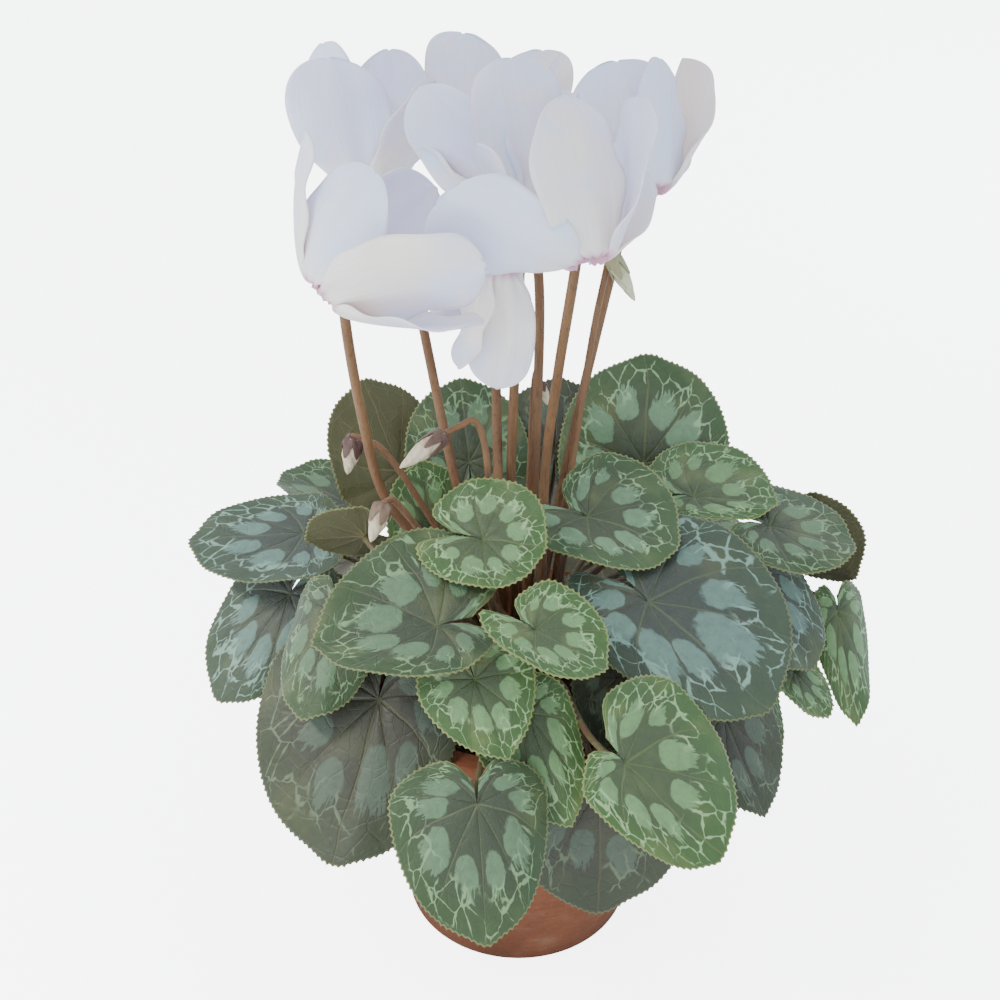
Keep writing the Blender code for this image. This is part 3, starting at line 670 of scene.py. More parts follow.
# Each leaf: (ring, attachment, size (left, right, tip, left lobe, right lobe), face (azimuth, slope, spin),
# bend (left, right, tip), finish). Lengths are mm and angles degrees; the finish is a key of leafFinishes.
# the shade finish paints shade on the leaves that sit deep in the plant
leaves = {
    "leaf_01": ("middle", (-34, -70, 209), (25, 46, 51, 20, 24), (-90, 22, -80), (15, 12, 0), "mature"),
    "leaf_02": ("top", (5, -80, 214), (24, 17, 32, 12, 20), (-60, 25, 35), (20, 10, 0), "fresh"),
    "leaf_03": ("low", (-19, -83, 192), (25, 24, 35, 17, 17), (-85, 55, 20), (-10, -10, 0), "fresh"),
    "leaf_04": ("low", (2, -81, 173), (19, 26, 50, 14, 19), (-88, 60, 20), (-15, -10, 0), "fresh"),
    "leaf_05": ("low", (-18, -109, 150), (30, 36, 56, 16, 16), (-88, 55, 3), (-32, -10, 0), "mature"),
    "leaf_06": ("low", (40, -109, 171), (42, 22, 56, 21, 12), (-60, 50, 28), (-10, -15, 0), "fresh"),
    "leaf_07": ("middle", (54, -38, 199), (52, 34, 68, 32, 30), (-90, 25, 45), (0, -6, 14), "blue"),
    "leaf_08": ("top", (29, -6, 222), (36, 24, 42, 14, 34), (-85, 26, 65), (5, 10, 5), "pale"),
    "leaf_09": ("top", (79, 21, 216), (36, 14, 38, 20, 14), (-100, 15, 90), (5, 0, 0), "fresh"),
    "leaf_10": ("middle", (60, 60, 212), (42, 42, 54, 30, 22), (-95, 60, 180), (-15, -15, 15), "pale"),
    "leaf_11": ("top", (-16, -38, 230), (28, 24, 27, 22, 24), (-105, 30, 90), (15, 15, 0), "fresh"),
    "leaf_12": ("top", (-40, 10, 205), (20, 20, 32, 12, 12), (-75, 60, 180), (-10, -10, 0), "fresh"),
    "leaf_13": ("middle", (-100, 24, 195), (34, 24, 54, 18, 16), (-100, 18, -78), (20, 10, 0), "blue"),
    "leaf_14": ("low", (-106, 6, 173), (26, 30, 60, 20, 20), (-115, 50, -20), (-30, -10, 0), "blue"),
    "leaf_15": ("low", (-80, -42, 195), (24, 26, 46, 14, 14), (-115, 50, 0), (-50, -50, 0), "mature"),
    "leaf_16": ("low", (-61, -55, 160), (38, 54, 72, 22, 26), (-105, 50, -5), (-15, -10, 0), "shade"),
    "leaf_17": ("low", (32, -88, 141), (42, 38, 60, 14, 10), (-85, 76, 0), (-10, -10, 0), "shade"),
    "leaf_18": ("low", (86, -62, 157), (28, 22, 46, 18, 14), (-55, 50, 0), (-10, -10, 0), "shade"),
    "leaf_19": ("low", (100, -33, 154), (16, 14, 44, 10, 10), (-60, 58, 0), (-10, -10, 0), "mature"),
    "leaf_20": ("middle", (112, 7, 209), (28, 24, 40, 16, 16), (-60, 18, 50), (0, -10, 0), "mature"),
    "leaf_21": ("low", (108, 4, 185), (28, 28, 50, 18, 18), (-50, 45, 5), (-10, -10, 0), "blue"),
    "leaf_22": ("middle", (131, 44, 177), (16, 38, 36, 12, 12), (75, 75, -70), (0, 0, 20), "shade"),
    "leaf_23": ("low", (151, 17, 156), (20, 14, 56, 12, 12), (-70, 60, 0), (-45, -45, 0), "fresh"),
    "leaf_24": ("low", (126, -14, 144), (14, 14, 26, 10, 10), (-45, 35, 0), (0, 0, 0), "fresh"),
    "leaf_25": ("middle", (-58, 66, 205), (34, 30, 48, 18, 18), (-55, 50, 180), (0, 0, 0), "mature"),
    "leaf_26": ("middle", (-24, 65, 210), (31, 31, 42, 26, 26), (-80, 55, 180), (-10, -10, 10), "mature"),
    "leaf_27": ("middle", (18, 77, 210), (30, 28, 38, 26, 26), (-95, 50, 180), (-10, -10, 10), "shade"),
    "leaf_28": ("middle", (-86, 77, 180), (26, 26, 40, 14, 14), (-30, 10, 180), (40, 40, 0), "mature"),
    "leaf_29": ("top", (-68, -6, 212), (20, 14, 28, 10, 10), (85, 70, 80), (0, 0, 0), "fresh"),
    "leaf_30": ("low", (42, -48, 166), (22, 22, 34, 12, 12), (-70, 55, 0), (0, 0, 0), "shade"),
    "leaf_31": ("middle", (93, 36, 188), (18, 18, 28, 10, 10), (-20, 20, 20), (0, 0, 0), "fresh"),
    "leaf_32": ("low", (114, 78, 162), (32, 30, 46, 21, 21), (35, 45, 0), (-10, -10, 0), "mature"),
    "leaf_33": ("low", (43, 92, 140), (36, 36, 50, 22, 22), (70, 61, 0), (-10, -10, 0), "mature"),
    "leaf_34": ("low", (24, 104, 178), (31, 32, 54, 26, 30), (80, 50, 0), (-10, -10, 0), "fresh"),
    "leaf_35": ("low", (-34, 108, 158), (30, 30, 50, 18, 18), (107, 48, 0), (-10, -10, 0), "mature"),
    "leaf_36": ("low", (-84, 82, 143), (34, 32, 50, 24, 20), (130, 48, 0), (-10, -10, 0), "blue"),
    "leaf_37": ("low", (-112, 46, 165), (28, 28, 44, 16, 16), (160, 48, 0), (-10, -10, 0), "mature"),
}

# Each flower: (knee, mouth, lean (angle, azimuth), five petals), and each petal: (azimuth, flare, length,
# width, belly, twist). The azimuths of petals are counted round the flower from the side of its stalk.
flowers = {
    "flower_1": ((-58, -5, 229), (-75, -42, 340), (57, 27), (
        (48, 18, 66, 42, 6, 20), (112, 54, 58, 42, 6, 20), (172, 20, 46, 36, 6, 20),
        (278, 38, 62, 42, 6, 20), (304, 48, 56, 40, 6, 20))),
    "flower_2": ((-29, 14, 229), (-65, 59, 348), (23, 95), (
        (42, 12, 62, 36, 8, 25), (100, 22, 66, 42, 8, 25), (168, 10, 62, 44, 8, 25),
        (248, 34, 58, 42, 8, 25), (325, 36, 50, 40, 8, 25))),
    "flower_3": ((-10, 12, 237), (-16, 98, 352), (30, 90), (
        (72, 32, 52, 40, 8, 25), (104, 28, 60, 40, 8, 25), (160, 26, 56, 40, 8, 25),
        (250, 20, 52, 42, 8, 25), (330, 22, 50, 40, 8, 25))),
    "flower_4": ((-4, 14, 237), (-9, -6, 338), (10, 0), (
        (40, 150, 46, 28, 0, 25), (110, 158, 38, 28, 0, 25), (190, 168, 42, 28, 0, 25),
        (248, 166, 47, 29, 0, 25), (308, 174, 46, 28, 0, 25))),
    "flower_5": ((8, 26, 300), (5, 14, 353), (25, 110), (
        (66, 50, 56, 44, 6, 20), (104, 32, 62, 42, 8, 25), (168, 12, 58, 44, 8, 25),
        (244, 24, 46, 40, 8, 25), (308, 14, 50, 42, 8, 25))),
    "flower_6": ((11, 4, 244), (24, -38, 351), (37, 117), (
        (64, 24, 58, 40, 6, 20), (100, 60, 58, 42, 6, 20), (172, 22, 58, 46, 8, 25),
        (226, 28, 58, 42, 8, 25), (292, 30, 52, 36, 6, 25))),
    "flower_7": ((26, 36, 250), (53, 40, 353), (36, 100), (
        (50, 14, 52, 40, 8, 25), (114, 16, 52, 42, 8, 25), (160, 22, 50, 40, 8, 25),
        (252, 14, 58, 44, 14, 25), (325, 32, 62, 38, 8, 25))),
}

# Each bud: (knee, base, tip, width, whether its petals are still green)
buds = {
    "bud_1": ((-16, -8, 262), (-32, -15, 267), (-50, -28, 258), 8, False),
    "bud_2": ((-54, -3, 246), (-71, -2, 259), (-75, -1, 240), 8, False),
    "bud_3": ((-50, -18, 232), (-57, -29, 242), (-63, -34, 226), 8, False),
    "bud_4": ((6, 36, 262), (9, 32, 268), (12, 26, 260), 5, False),
    "bud_5": ((29, 20, 285), (36, 16, 334), (47, 14, 314), 7, True),
}


def tuberTopAt(radius):
    # the height of the tuber's ellipsoid over a radius
    s = stemSettings
    return s["tuberTop"] - s["tuberHalfHeight"] * (1 - math.sqrt(1 - (radius / s["tuberRadius"]) ** 2))


def stemBase(ring, azimuth):
    # a stem stands on the tuber's ellipsoid at its ring's radius and leaves along the normal there
    s = stemSettings
    radius = s["rings"][ring]
    x, y = radius * math.cos(azimuth), radius * math.sin(azimuth)
    height = tuberTopAt(radius) - (s["tuberTop"] - s["tuberHalfHeight"])
    halves = np.array([s["tuberRadius"], s["tuberRadius"], s["tuberHalfHeight"]])
    normal = unit(np.array([x, y, height]) / halves**2)
    return np.array([x, y, tuberTopAt(radius)]) + s["gap"] * normal, normal


def ringAzimuths(stems):
    # each stem starts on the side that it leans to, and neighbours closer than the spacing push apart
    azimuths = {}
    for ring, radius in stemSettings["rings"].items():
        members = sorted((math.atan2(y, x), name) for name, kind, x, y in stems if kind == ring)
        angles = [angle for angle, _ in members]
        apart = stemSettings["spacing"] / radius
        for _ in range(stemSettings["spreadingRounds"]):
            for k in range(len(angles)):
                after = (k + 1) % len(angles)
                turn = 2 * math.pi if after <= k else 0.0
                short = apart - (angles[after] + turn - angles[k])
                if short > 0:
                    angles[k] -= short / 2
                    angles[after] += short / 2
        azimuths.update({name: angle for angle, (_, name) in zip(angles, members)})
    return azimuths


stems = [(name, row[0], row[1][0], row[1][1]) for name, row in leaves.items()]
stems += [(name, "flower", row[0][0], row[0][1]) for name, row in flowers.items()]
stems += [(name, "top", row[0][0], row[0][1]) for name, row in buds.items()]
stemAzimuths = ringAzimuths(stems)


def bezier(start, first, second, end, s):
    # the cubic curve's points and its ways along at each s from 0 to 1
    s = np.asarray(s, float)[:, None]
    r = 1 - s
    points = r**3 * start + 3 * s * r**2 * first + 3 * s**2 * r * second + s**3 * end
    ways = r**2 * (first - start) + 2 * s * r * (second - first) + s**2 * (end - second)
    return points, unit(ways)


def smoothRoute(points, count):
    # points read off the curve (Catmull-Rom) that passes smoothly through the given ones
    points = np.asarray(points, float)
    ends = np.concatenate([[2 * points[0] - points[1]], points, [2 * points[-1] - points[-2]]])
    placeOn = np.linspace(0, len(points) - 1, count)
    i = np.minimum(placeOn.astype(int), len(points) - 2)
    s = (placeOn - i)[:, None]
    a, b, c, d = ends[i], ends[i + 1], ends[i + 2], ends[i + 3]
    return 0.5 * (2 * b + s * (c - a) + s**2 * (2 * a - 5 * b + 4 * c - d) + s**3 * (3 * b - a - 3 * c + d))


def readOff(pairs, share):
    # the value at each share, evenly between the pairs (share, value) on its two sides
    return np.interp(share, *np.transpose(pairs))


leafSettings = {
    "thickness": (0.9, 0.4),  # at the petiole and at the margin
    "slit": 0.04,  # radians, half of the opening between the lobes
    "lobeReach": 1.22,
    "notch": (0.5, 0.2),  # depth as a share of the lobe, and breadth in radians
    "point": (0.05, 0.16),  # the small point ahead: share of the tip's length, and breadth in radians
    "dimple": (1.2, 0.09),  # over the petiole: depth, and breadth as a share of the blade
    "turnedOver": ("leaf_25",),
    "outlineSteps": 1801,
    "fewestTeeth": 24,
    "toothSpacing": 2.7,
    "toothLength": 0.95,
    "toothSpread": (0.65, 1.15),
    "toothShape": (0.0, 0.45, 1.0, 0.55, 0.1),
    "toothStart": 0.93,  # the share of the blade past which a tooth pushes its rows out
    "rows": (0.03, 0.09, 0.18, 0.29, 0.41, 0.53, 0.65, 0.76, 0.86, 0.93, 0.975, 1.0),
    "fullness": 0.88,  # under 1 the sides bulge, over 1 they run straight to a point
    "ownFullness": {
        "leaf_01": 1.1, "leaf_02": 0.92, "leaf_03": 1.25, "leaf_04": 1.05, "leaf_05": 1.0, "leaf_06": 0.85,
        "leaf_08": 0.85, "leaf_11": 0.82, "leaf_17": 0.85, "leaf_18": 1.05, "leaf_23": 1.05,
    },
    "puff": 0.6,  # height of the flesh between two veins on a middling leaf
    "wave": 0.78,  # height of the margin's waves on it
    "marginWaves": ((1.0, 5, 1.0), (0.6, 9, 2.1)),  # (share of the height, waves round the blade, start)
    "middlingSize": 120,  # its left, right and tip lengths together
    "petioleRadius": 1.7,
    "petioleSides": 12,
    "petioleTaper": 0.22,
    "petioleEnds": ((0.25, 0.04), (0.2, 0.03)),  # extra thickness at the foot and the blade, and its reach
}
seedStep = 1.7  # from one seed to the next in the patterns' third coordinate


def leafAxes(azimuth, slope, spin):
    # a blade falls away to its azimuth by its slope, and its tip is spun from there in the blade's own
    # plane; the three axes are the tip's way, the left side's way and the upper side's normal
    turn, tilt, swing = (math.radians(a) for a in (azimuth, slope, spin))
    down = np.array([math.cos(tilt) * math.cos(turn), math.cos(tilt) * math.sin(turn), -math.sin(tilt)])
    level = np.array([-math.sin(turn), math.cos(turn), 0.0])
    ahead = down * math.cos(swing) + level * math.sin(swing)
    up = np.cross(down, level)
    return ahead, np.cross(up, ahead), up


def leafOutline(angle, size, fullness):
    # a heart: a full half oval (cosine and sine to a power) with a small point ahead, and behind it two
    # lobes with a narrow notch between them
    left, right, tip, leftLobe, rightLobe = size
    (depth, breadth), (point, pointBreadth) = leafSettings["notch"], leafSettings["point"]
    lobe = leafSettings["lobeReach"] * np.where(angle > 0, leftLobe, rightLobe)
    away = math.pi - np.abs(angle)
    isFront = np.abs(angle) < math.pi / 2
    full = np.where(isFront, fullness, 1.0)
    across = np.sign(angle) * np.abs(np.sin(angle)) ** full
    pointed = 1 - point + point * np.exp(-((angle / pointBreadth) ** 2))
    front = tip * np.abs(np.cos(angle)) ** full * pointed
    back = lobe * np.cos(angle) * (1 - depth * np.exp(-((away / breadth) ** 2)))
    return np.where(isFront, front, back), np.where(angle > 0, left, right) * across


def bentStrip(distance, whole, angle):
    # a strip of a given whole length bent evenly through an angle: how far along, how far up and its turn
    turn = np.radians(angle) * distance / whole
    straight = np.abs(turn) < 1e-6
    safe = np.where(straight, 1.0, turn)
    along = np.where(straight, distance, distance * np.sin(safe) / safe)
    up = np.where(straight, 0.0, distance * (1 - np.cos(safe)) / safe)
    return along, up, turn


def bladeSheet(row, fullness, faces, seed):
    # The outline scaled by each row's reach, bent across and then along. The flesh swells between the main
    # veins by the sine of the sector, the margin waves, and each tooth pushes the last rows out.
    s = leafSettings
    _, attach, size, face, bend, _ = row
    end = math.pi - s["slit"]
    fineAngle = np.linspace(end, -end, s["outlineSteps"])
    ahead, side = leafOutline(fineAngle, size, fullness)
    run = np.concatenate([[0.0], np.cumsum(np.hypot(np.diff(ahead), np.diff(side)))])
    teeth = max(int(run[-1] / s["toothSpacing"]), s["fewestTeeth"])
    count = len(s["toothShape"])
    angle = np.interp(np.linspace(0, run[-1], count * teeth + 1), run, fineAngle)
    ahead, side = leafOutline(angle, size, fullness)
    radius = np.hypot(ahead, side)
    rng = np.random.default_rng(seed)
    each = np.append(np.repeat(rng.uniform(*s["toothSpread"], teeth), count), 0.0)
    tooth = np.append(np.tile(s["toothShape"], teeth), 0.0) * each * s["toothLength"]
    tooth *= np.clip((math.pi - np.abs(angle)) / 0.5, 0.15, 1.0)  # small beside the notch
    reach = np.array(s["rows"])[:, None]
    outermost = np.clip((reach - s["toothStart"]) / (1 - s["toothStart"]), 0, 1)
    push = 1 + outermost * (tooth - 0.5) / np.maximum(radius, 6.0)
    flatAhead, flatSide = ahead * reach * push, side * reach * push
    # swells and waves, as heights above the bent blade
    swing = angle * (1 + veinCurl * reach**2) * veinCount / (2 * math.pi)
    swell = np.abs(np.sin(math.pi * swing)) ** 0.8 * np.sin(math.pi * np.clip(reach, 0, 1)) ** 0.7
    scale = sum(size[:3]) / s["middlingSize"]
    margin = sum(share * np.sin(waves * angle + own * seed) for share, waves, own in s["marginWaves"])
    depth, breadth = s["dimple"]
    height = scale * (s["puff"] * swell + s["wave"] * margin * reach**3)
    height -= depth * np.exp(-((reach / breadth) ** 2))
    half = np.where(side > 0, size[0], size[1])
    bends = np.where(side > 0, bend[0], bend[1])
    across, lift, _ = bentStrip(np.abs(flatSide), half, bends)
    along, drop, tilt = bentStrip(flatAhead, size[2], -bend[2])
    rise = lift + height
    parts = (along - rise * np.sin(tilt), np.copysign(across, flatSide), drop + rise * np.cos(tilt))
    axes = leafAxes(*face)
    middle = np.array(attach, float) + sum(share[..., None] * axis for share, axis in zip(parts, axes))
    pole = np.array(attach, float) - depth * axes[2]
    thick = np.interp(reach, [0, 1], s["thickness"])
    flat = joined(reach * np.sin(angle), reach * np.cos(angle), seedStep * seed)
    edge = (1 - reach) * radius
    return sheet(middle, thick, faces, flat, edge, pole)


def petioleTube(row, azimuth, seed):
    # an arch on a cubic curve from the tuber to the underside of the blade, a little thicker at both ends
    ring, attach, _, face = row[:4]
    start, wayOut = stemBase(ring, azimuth)
    forward, _, up = leafAxes(*face)
    end = np.array(attach, float) - 1.3 * up
    span = np.linalg.norm(end - start)
    arrival = unit(0.85 * up + 0.5 * forward)
    foot = start + 2 * wayOut
    first, second = foot + 0.4 * span * wayOut, end - 0.35 * span * arrival
    path, _ = bezier(foot, first, second, end, np.linspace(0, 1, 34))
    path = np.concatenate([[start], path])
    share = np.linspace(0, 1, len(path))
    s = leafSettings
    (low, lowReach), (high, highReach) = s["petioleEnds"]
    thick = 1 - s["petioleTaper"] * share + low * np.exp(-share / lowReach)
    thick += high * np.exp(-(1 - share) / highReach)
    guide = unit(np.cross(wayOut, unit(end - start)) + 1e-6)
    return tube(path, s["petioleRadius"] * thick, guide, s["petioleSides"], 2, seedStep * seed)


def makeLeaf(name, row, number):
    # a blade and its petiole, with its own seed for teeth, waves and marks
    seed = 3 + 7 * number
    fullness = leafSettings["ownFullness"].get(name, leafSettings["fullness"])
    faces = [1, 0, 1] if name in leafSettings["turnedOver"] else [0, 1, 0]
    parts = [bladeSheet(row, fullness, faces, seed), petioleTube(row, stemAzimuths[name], seed)]
    skins = [leafUppers[row[5]], leafUnderside, stemSkins["petioleSkin"]]
    return settle(putTogether(name + "_blade", parts, skins), name)


for number, (name, row) in enumerate(leaves.items()):
    makeLeaf(name, row, number)
print("leaves made:", len(leaves))

flowerSettings = {
    "clawAngles": (56, 116, 180, 244, 304),
    "clawWidth": 7.0,
    "mouthRadius": 6.5,
    "tubeHeight": 8.0,
    # profiles as (out, up) from the middle of the mouth: a petal's start, the tube and the stalk's hook
    "tubeWall": ((4.2, 8.0), (4.5, 5.5), (5.0, 3.2), (5.7, 1.2)),
    "tubeCup": ((1.2, 8.2), (3.2, 8.3), (4.1, 7.6), (4.5, 5.4), (5.2, 2.8), (6.0, 0.8)),
    "hook": ((10.5, 4), (9.6, 10.5), (6.6, 15.2), (3.2, 16.6), (0.8, 15), (0.0, 11.5)),
    "tubeFill": (0.54, 0.16),  # a petal's half breadth and its bow in the tube, as shares of the radius
    "handles": (7.0, 0.62),  # mm that a petal runs on past the mouth, and the share where its belly lies
    "petalRows": 36,
    "petalColumns": 21,
    "widest": 0.68,
    "thickness": 0.5,
    "cup": 0.27,
    "ruffle": 1.5,
    "ruffleWaves": 17,
    "scallop": 0.075,  # how far the petal's end comes and goes, as a share of the breadth
    "scallopWaves": 4.2,
    "fold": 0.9,
    "foldBreadth": 0.22,
    "crease": (0.6, 0.35),  # height of the folds by the claw, and how far along they reach
    "sway": 0.045,  # how far the middle line wanders, as a share of the breadth
    "swayWaves": 2.6,
    "sideWander": (0.05, 8),  # how much the breadth comes and goes, and its waves
    "blunt": (3.0, 0.5),  # powers of the petal's end
    "endSpread": 0.2,  # how much the first power varies
    "pointed": (1.7, 0.85),
    "pointedPetals": {"flower_7": (3,), "flower_3": (3,), "flower_6": (4,)},
    "styleRadius": 0.55,
    "stalkRadius": 2.1,
    "stalkSides": 20,
    "stalkThickness": ((0, 1.25), (0.02, 1.05), (0.5, 1.0), (0.62, 0.92), (0.95, 0.82), (1, 1.3)),
    "calyxRadius": 4.6,
    "calyxLength": 8.5,
}
sepalSettings = {
    "count": 5,
    "thickness": 0.4,
    "joined": 0.35,  # the share of the length below the sepals' own tips
    "foot": 0.35,  # the cup's radius at its foot, as a share of its own
    "tipPower": 1.4,
}
petalTints = {
    "warm": srgb(255, 239, 230),
    "cool": srgb(222, 231, 255),
    "vein": srgb(230, 223, 227),
    "claw": srgb(234, 222, 218),
    "blush": srgb(210, 138, 176),
    "rim": srgb(252, 238, 240),
}


def makePetalMaterial():
    # White flesh with fine lengthwise veins. Each petal has its own cast between warm and cool white,
    # cooler
    # towards its tip, which is painted light: the blue of sky light and the warm of bounce light. The flesh
    # is a little greyer towards the claw, and a pink blush sits by the mouth and along the very edge.
    gloss = {"Specular_IOR_Level": 0.3, "Sheen_Weight": 0.1}
    flesh = {"Subsurface_Weight": 0.3, "Subsurface_Scale": 0.003}
    material, tree, shader = newMaterial("petalWhite", **gloss, **flesh)
    across, along, seed = split(attribute(tree, "flat", "Vector"))
    lines = noise(vector(across * 18.0, along * 1.6, seed), 1.0, 4.0, 0.6)
    cloud = noise(objectPlace(tree), 38.0, 3.0)
    # painted light: each petal's own cast between warm bounce light and cool sky light
    paintedLightCast = noise(vector(seed, 3.0, 0.0), 0.9, 0.0)
    mix = cloud * 0.8 + along * 0.35 + paintedLightCast
    colour = layered(
        blendColour(smooth(mix, 0.85, 1.3), petalTints["warm"], petalTints["cool"]),
        (smooth(lines, 0.46, 0.72) * 0.4, petalTints["vein"]),
        ((1.0 - smooth(along, 0.05, 0.5)) * 0.55, petalTints["claw"]),
        ((1.0 - smooth(along, 0.02, 0.2)) * 0.8, petalTints["blush"]),
        (smooth(abs(across), 0.86, 1.0) * 0.35, petalTints["rim"]),
    )
    applyFinish(shader, colour, lines * 0.2 + 0.45, lines, 0.35, 0.0005)
    return material


petalWhite = makePetalMaterial()


def flowerAxes(lean, toward):
    # the axis out of the mouth's back, the side nearest to the stalk, and the third at right angles to both
    tilt, azimuth = (math.radians(a) for a in lean)
    sideways = math.sin(tilt)
    axis = np.array([sideways * math.cos(azimuth), sideways * math.sin(azimuth), math.cos(tilt)])
    gap = unit(toward - axis * toward.dot(axis))
    return axis, gap, np.cross(axis, gap)


def turnedAbout(vectors, axis, angle):
    # Rodrigues: each vector turned about its own axis by its own angle
    c, s = np.cos(angle)[:, None], np.sin(angle)[:, None]
    along = (vectors * axis).sum(-1, keepdims=True)
    return vectors * c + np.cross(axis, vectors) * s + axis * along * (1 - c)


def petalSheet(centre, axis, gap, third, claw, petal, bluntness, seed):
    # A strip carried down the tube's wall, out of the mouth and along a cubic curve to the tip. Its breadth
    # is a narrow claw that swells by a sine to its widest and closes as a blunt superellipse. It cups by
    # the square of the way across, folds once, ruffles at its edges and ends in a gentle wave.
    s = flowerSettings
    azimuth, flare, length, width, belly, twist = petal
    flare, azimuth = math.radians(flare), math.radians(azimuth)
    ray = gap * math.cos(claw) + third * math.sin(claw)
    away = gap * math.cos(azimuth) + third * math.sin(azimuth)
    level = np.cross(axis, ray)
    start = centre + ray * s["mouthRadius"] - axis * 0.5
    end = start + length * (axis * math.cos(flare) + away * math.sin(flare))
    chord = end - start
    outward = unit(ray - chord * (ray.dot(chord) / chord.dot(chord)))
    ahead, bellyShare = s["handles"]
    first = start + ahead * (0.9 * ray - 0.5 * axis)
    second = start + bellyShare * chord + belly * outward
    share = (1 - (1 - np.linspace(0, 1, s["petalRows"])) ** 1.7) * 0.9992  # closer together towards the tip
    route, ways = bezier(start, first, second, end, share)
    tubeOut, tubeUp = np.array(s["tubeWall"]).T
    inTube = len(tubeOut)
    wall = centre + ray * tubeOut[:, None] + axis * tubeUp[:, None]
    path = np.concatenate([wall, route])
    ways = np.concatenate([unit(np.gradient(np.concatenate([wall, route[:1]]), axis=0))[:-1], ways])
    shares = np.concatenate([np.zeros(inTube), share])
    rows = shares[:, None, None]
    side = unit(level - ways * (ways @ level)[:, None])
    side = turnedAbout(side, ways, math.radians(twist) * np.minimum(1.5 * shares, 1.0))
    normal = np.cross(side, ways)
    rising = np.sin(math.pi / 2 * np.minimum(shares / s["widest"], 1.0)) ** 1.3
    power, fall = bluntness
    power *= 1 + s["endSpread"] * math.sin(2.3 * seed)
    ending = (1 - np.clip((shares - s["widest"]) / (1 - s["widest"]), 0, 1) ** power) ** fall
    swell = (rising * ending)[:, None, None]
    half = (s["clawWidth"] * (1 - shares) + (width - 0.4 * s["clawWidth"]) * swell[:, 0, 0]) / 2
    wander, wanderWaves = s["sideWander"]
    half *= 1 + wander * np.sin(wanderWaves * shares + 1.7 * seed)
    breadth, bow = s["tubeFill"]
    half[:inTube] = breadth * tubeOut
    x = np.linspace(-1, 1, s["petalColumns"])[None, :, None]
    sway = s["sway"] * width * np.sin(s["swayWaves"] * shares + seed) * shares**2
    across = x * half[:, None, None] + sway[:, None, None]
    facing = np.sign(normal @ ray)
    facing[inTube:] = np.sign(normal[inTube:] @ outward)
    flesh = s["cup"] * half[inTube:] * np.clip(1.25 - share, 0.3, 1)
    cupDepth = facing * np.concatenate([bow * tubeOut, flesh])
    wave = s["ruffle"] * np.abs(x) ** 3 * np.sin(s["ruffleWaves"] * rows + 3 * np.sign(x) + seed) * swell
    creaseHeight, creaseReach = s["crease"]
    crease = creaseHeight * np.cos(3 * math.pi * x) * np.exp(-rows / creaseReach) * (rows > 0)
    hollow = 0.35 * math.sin(1.9 * seed)
    fold = s["fold"] * np.exp(-(((x - hollow - 0.25 * rows) / s["foldBreadth"]) ** 2)) * swell
    lift = wave + crease - fold - cupDepth[:, None, None] * x**2
    scallop = s["scallop"] * width * np.cos(s["scallopWaves"] * x + 2.1 * seed)
    scallop = scallop * (shares**4 * ending)[:, None, None]
    middle = path[:, None] + side[:, None] * across + normal[:, None] * lift + ways[:, None] * scallop
    return sheet(middle, s["thickness"], [0, 0, 0], joined(x[..., 0], shares[:, None], float(seed)))


def ringAbout(gap, third, steps):
    # a circle's unit rays, from one side of the seam round to the other
    turn = np.linspace(-math.pi, math.pi, steps)
    return turn, gap * np.cos(turn)[:, None] + third * np.sin(turn)[:, None]


def corollaTube(centre, axis, gap, third):
    # the closed back of the corolla: a short cup from the calyx to the mouth
    turn, ring = ringAbout(gap, third, 41)
    out, up = np.array(flowerSettings["tubeCup"]).T[..., None]
    middle = centre + ring[None] * out[..., None] + axis * up[..., None]
    flat = joined(turn / math.pi, 0.0 * out, 0.0)
    return sheet(middle, flowerSettings["thickness"], [0, 0, 0], flat)


def makeFlower(name, row, number):
    # five petals round the mouth, the tube behind it and a style down its middle
    s = flowerSettings
    knee, mouth, lean, petals = row
    centre = np.array(mouth, float)
    axis, gap, third = flowerAxes(lean, np.array(knee, float) - centre)
    parts = []
    for k, (angle, petal) in enumerate(zip(s["clawAngles"], petals)):
        bluntness = s["pointed"] if k in s["pointedPetals"].get(name, ()) else s["blunt"]
        seed = len(petals) * number + k
        parts.append(petalSheet(centre, axis, gap, third, math.radians(angle), petal, bluntness, seed))
    parts.append(corollaTube(centre, axis, gap, third))
    style = centre + axis * np.linspace(7.5, -1.5, 10)[:, None]
    parts.append(tube(style, np.full(10, s["styleRadius"]), gap, 8, 0))
    return settle(putTogether(name + "_petals", parts, [petalWhite]), name)


def sepalCup(foot, way, guide, radius, length, slot, flare=0.0):
    # five pointed sepals: a cup whose free edge runs out to a tip five times round it
    s = sepalSettings
    across, other = unit(guide - way * guide.dot(way)), unit(np.cross(way, guide))
    turn, ring = ringAbout(across, other, 61)
    share = np.linspace(0, 1, 9)[:, None]
    tips = np.abs(np.cos(s["count"] / 2 * turn)) ** s["tipPower"]
    reach = length * (s["joined"] + (1 - s["joined"]) * tips)
    opening = np.sin(np.clip(share * 2.2, 0, 1) * math.pi / 2)
    out = radius * (s["foot"] + (1 - s["foot"]) * opening) + flare * share**2
    middle = foot + ring[None] * out[..., None] + way * (share * reach)[..., None]
    return sheet(middle, s["thickness"], [slot] * 3, np.zeros(middle.shape))


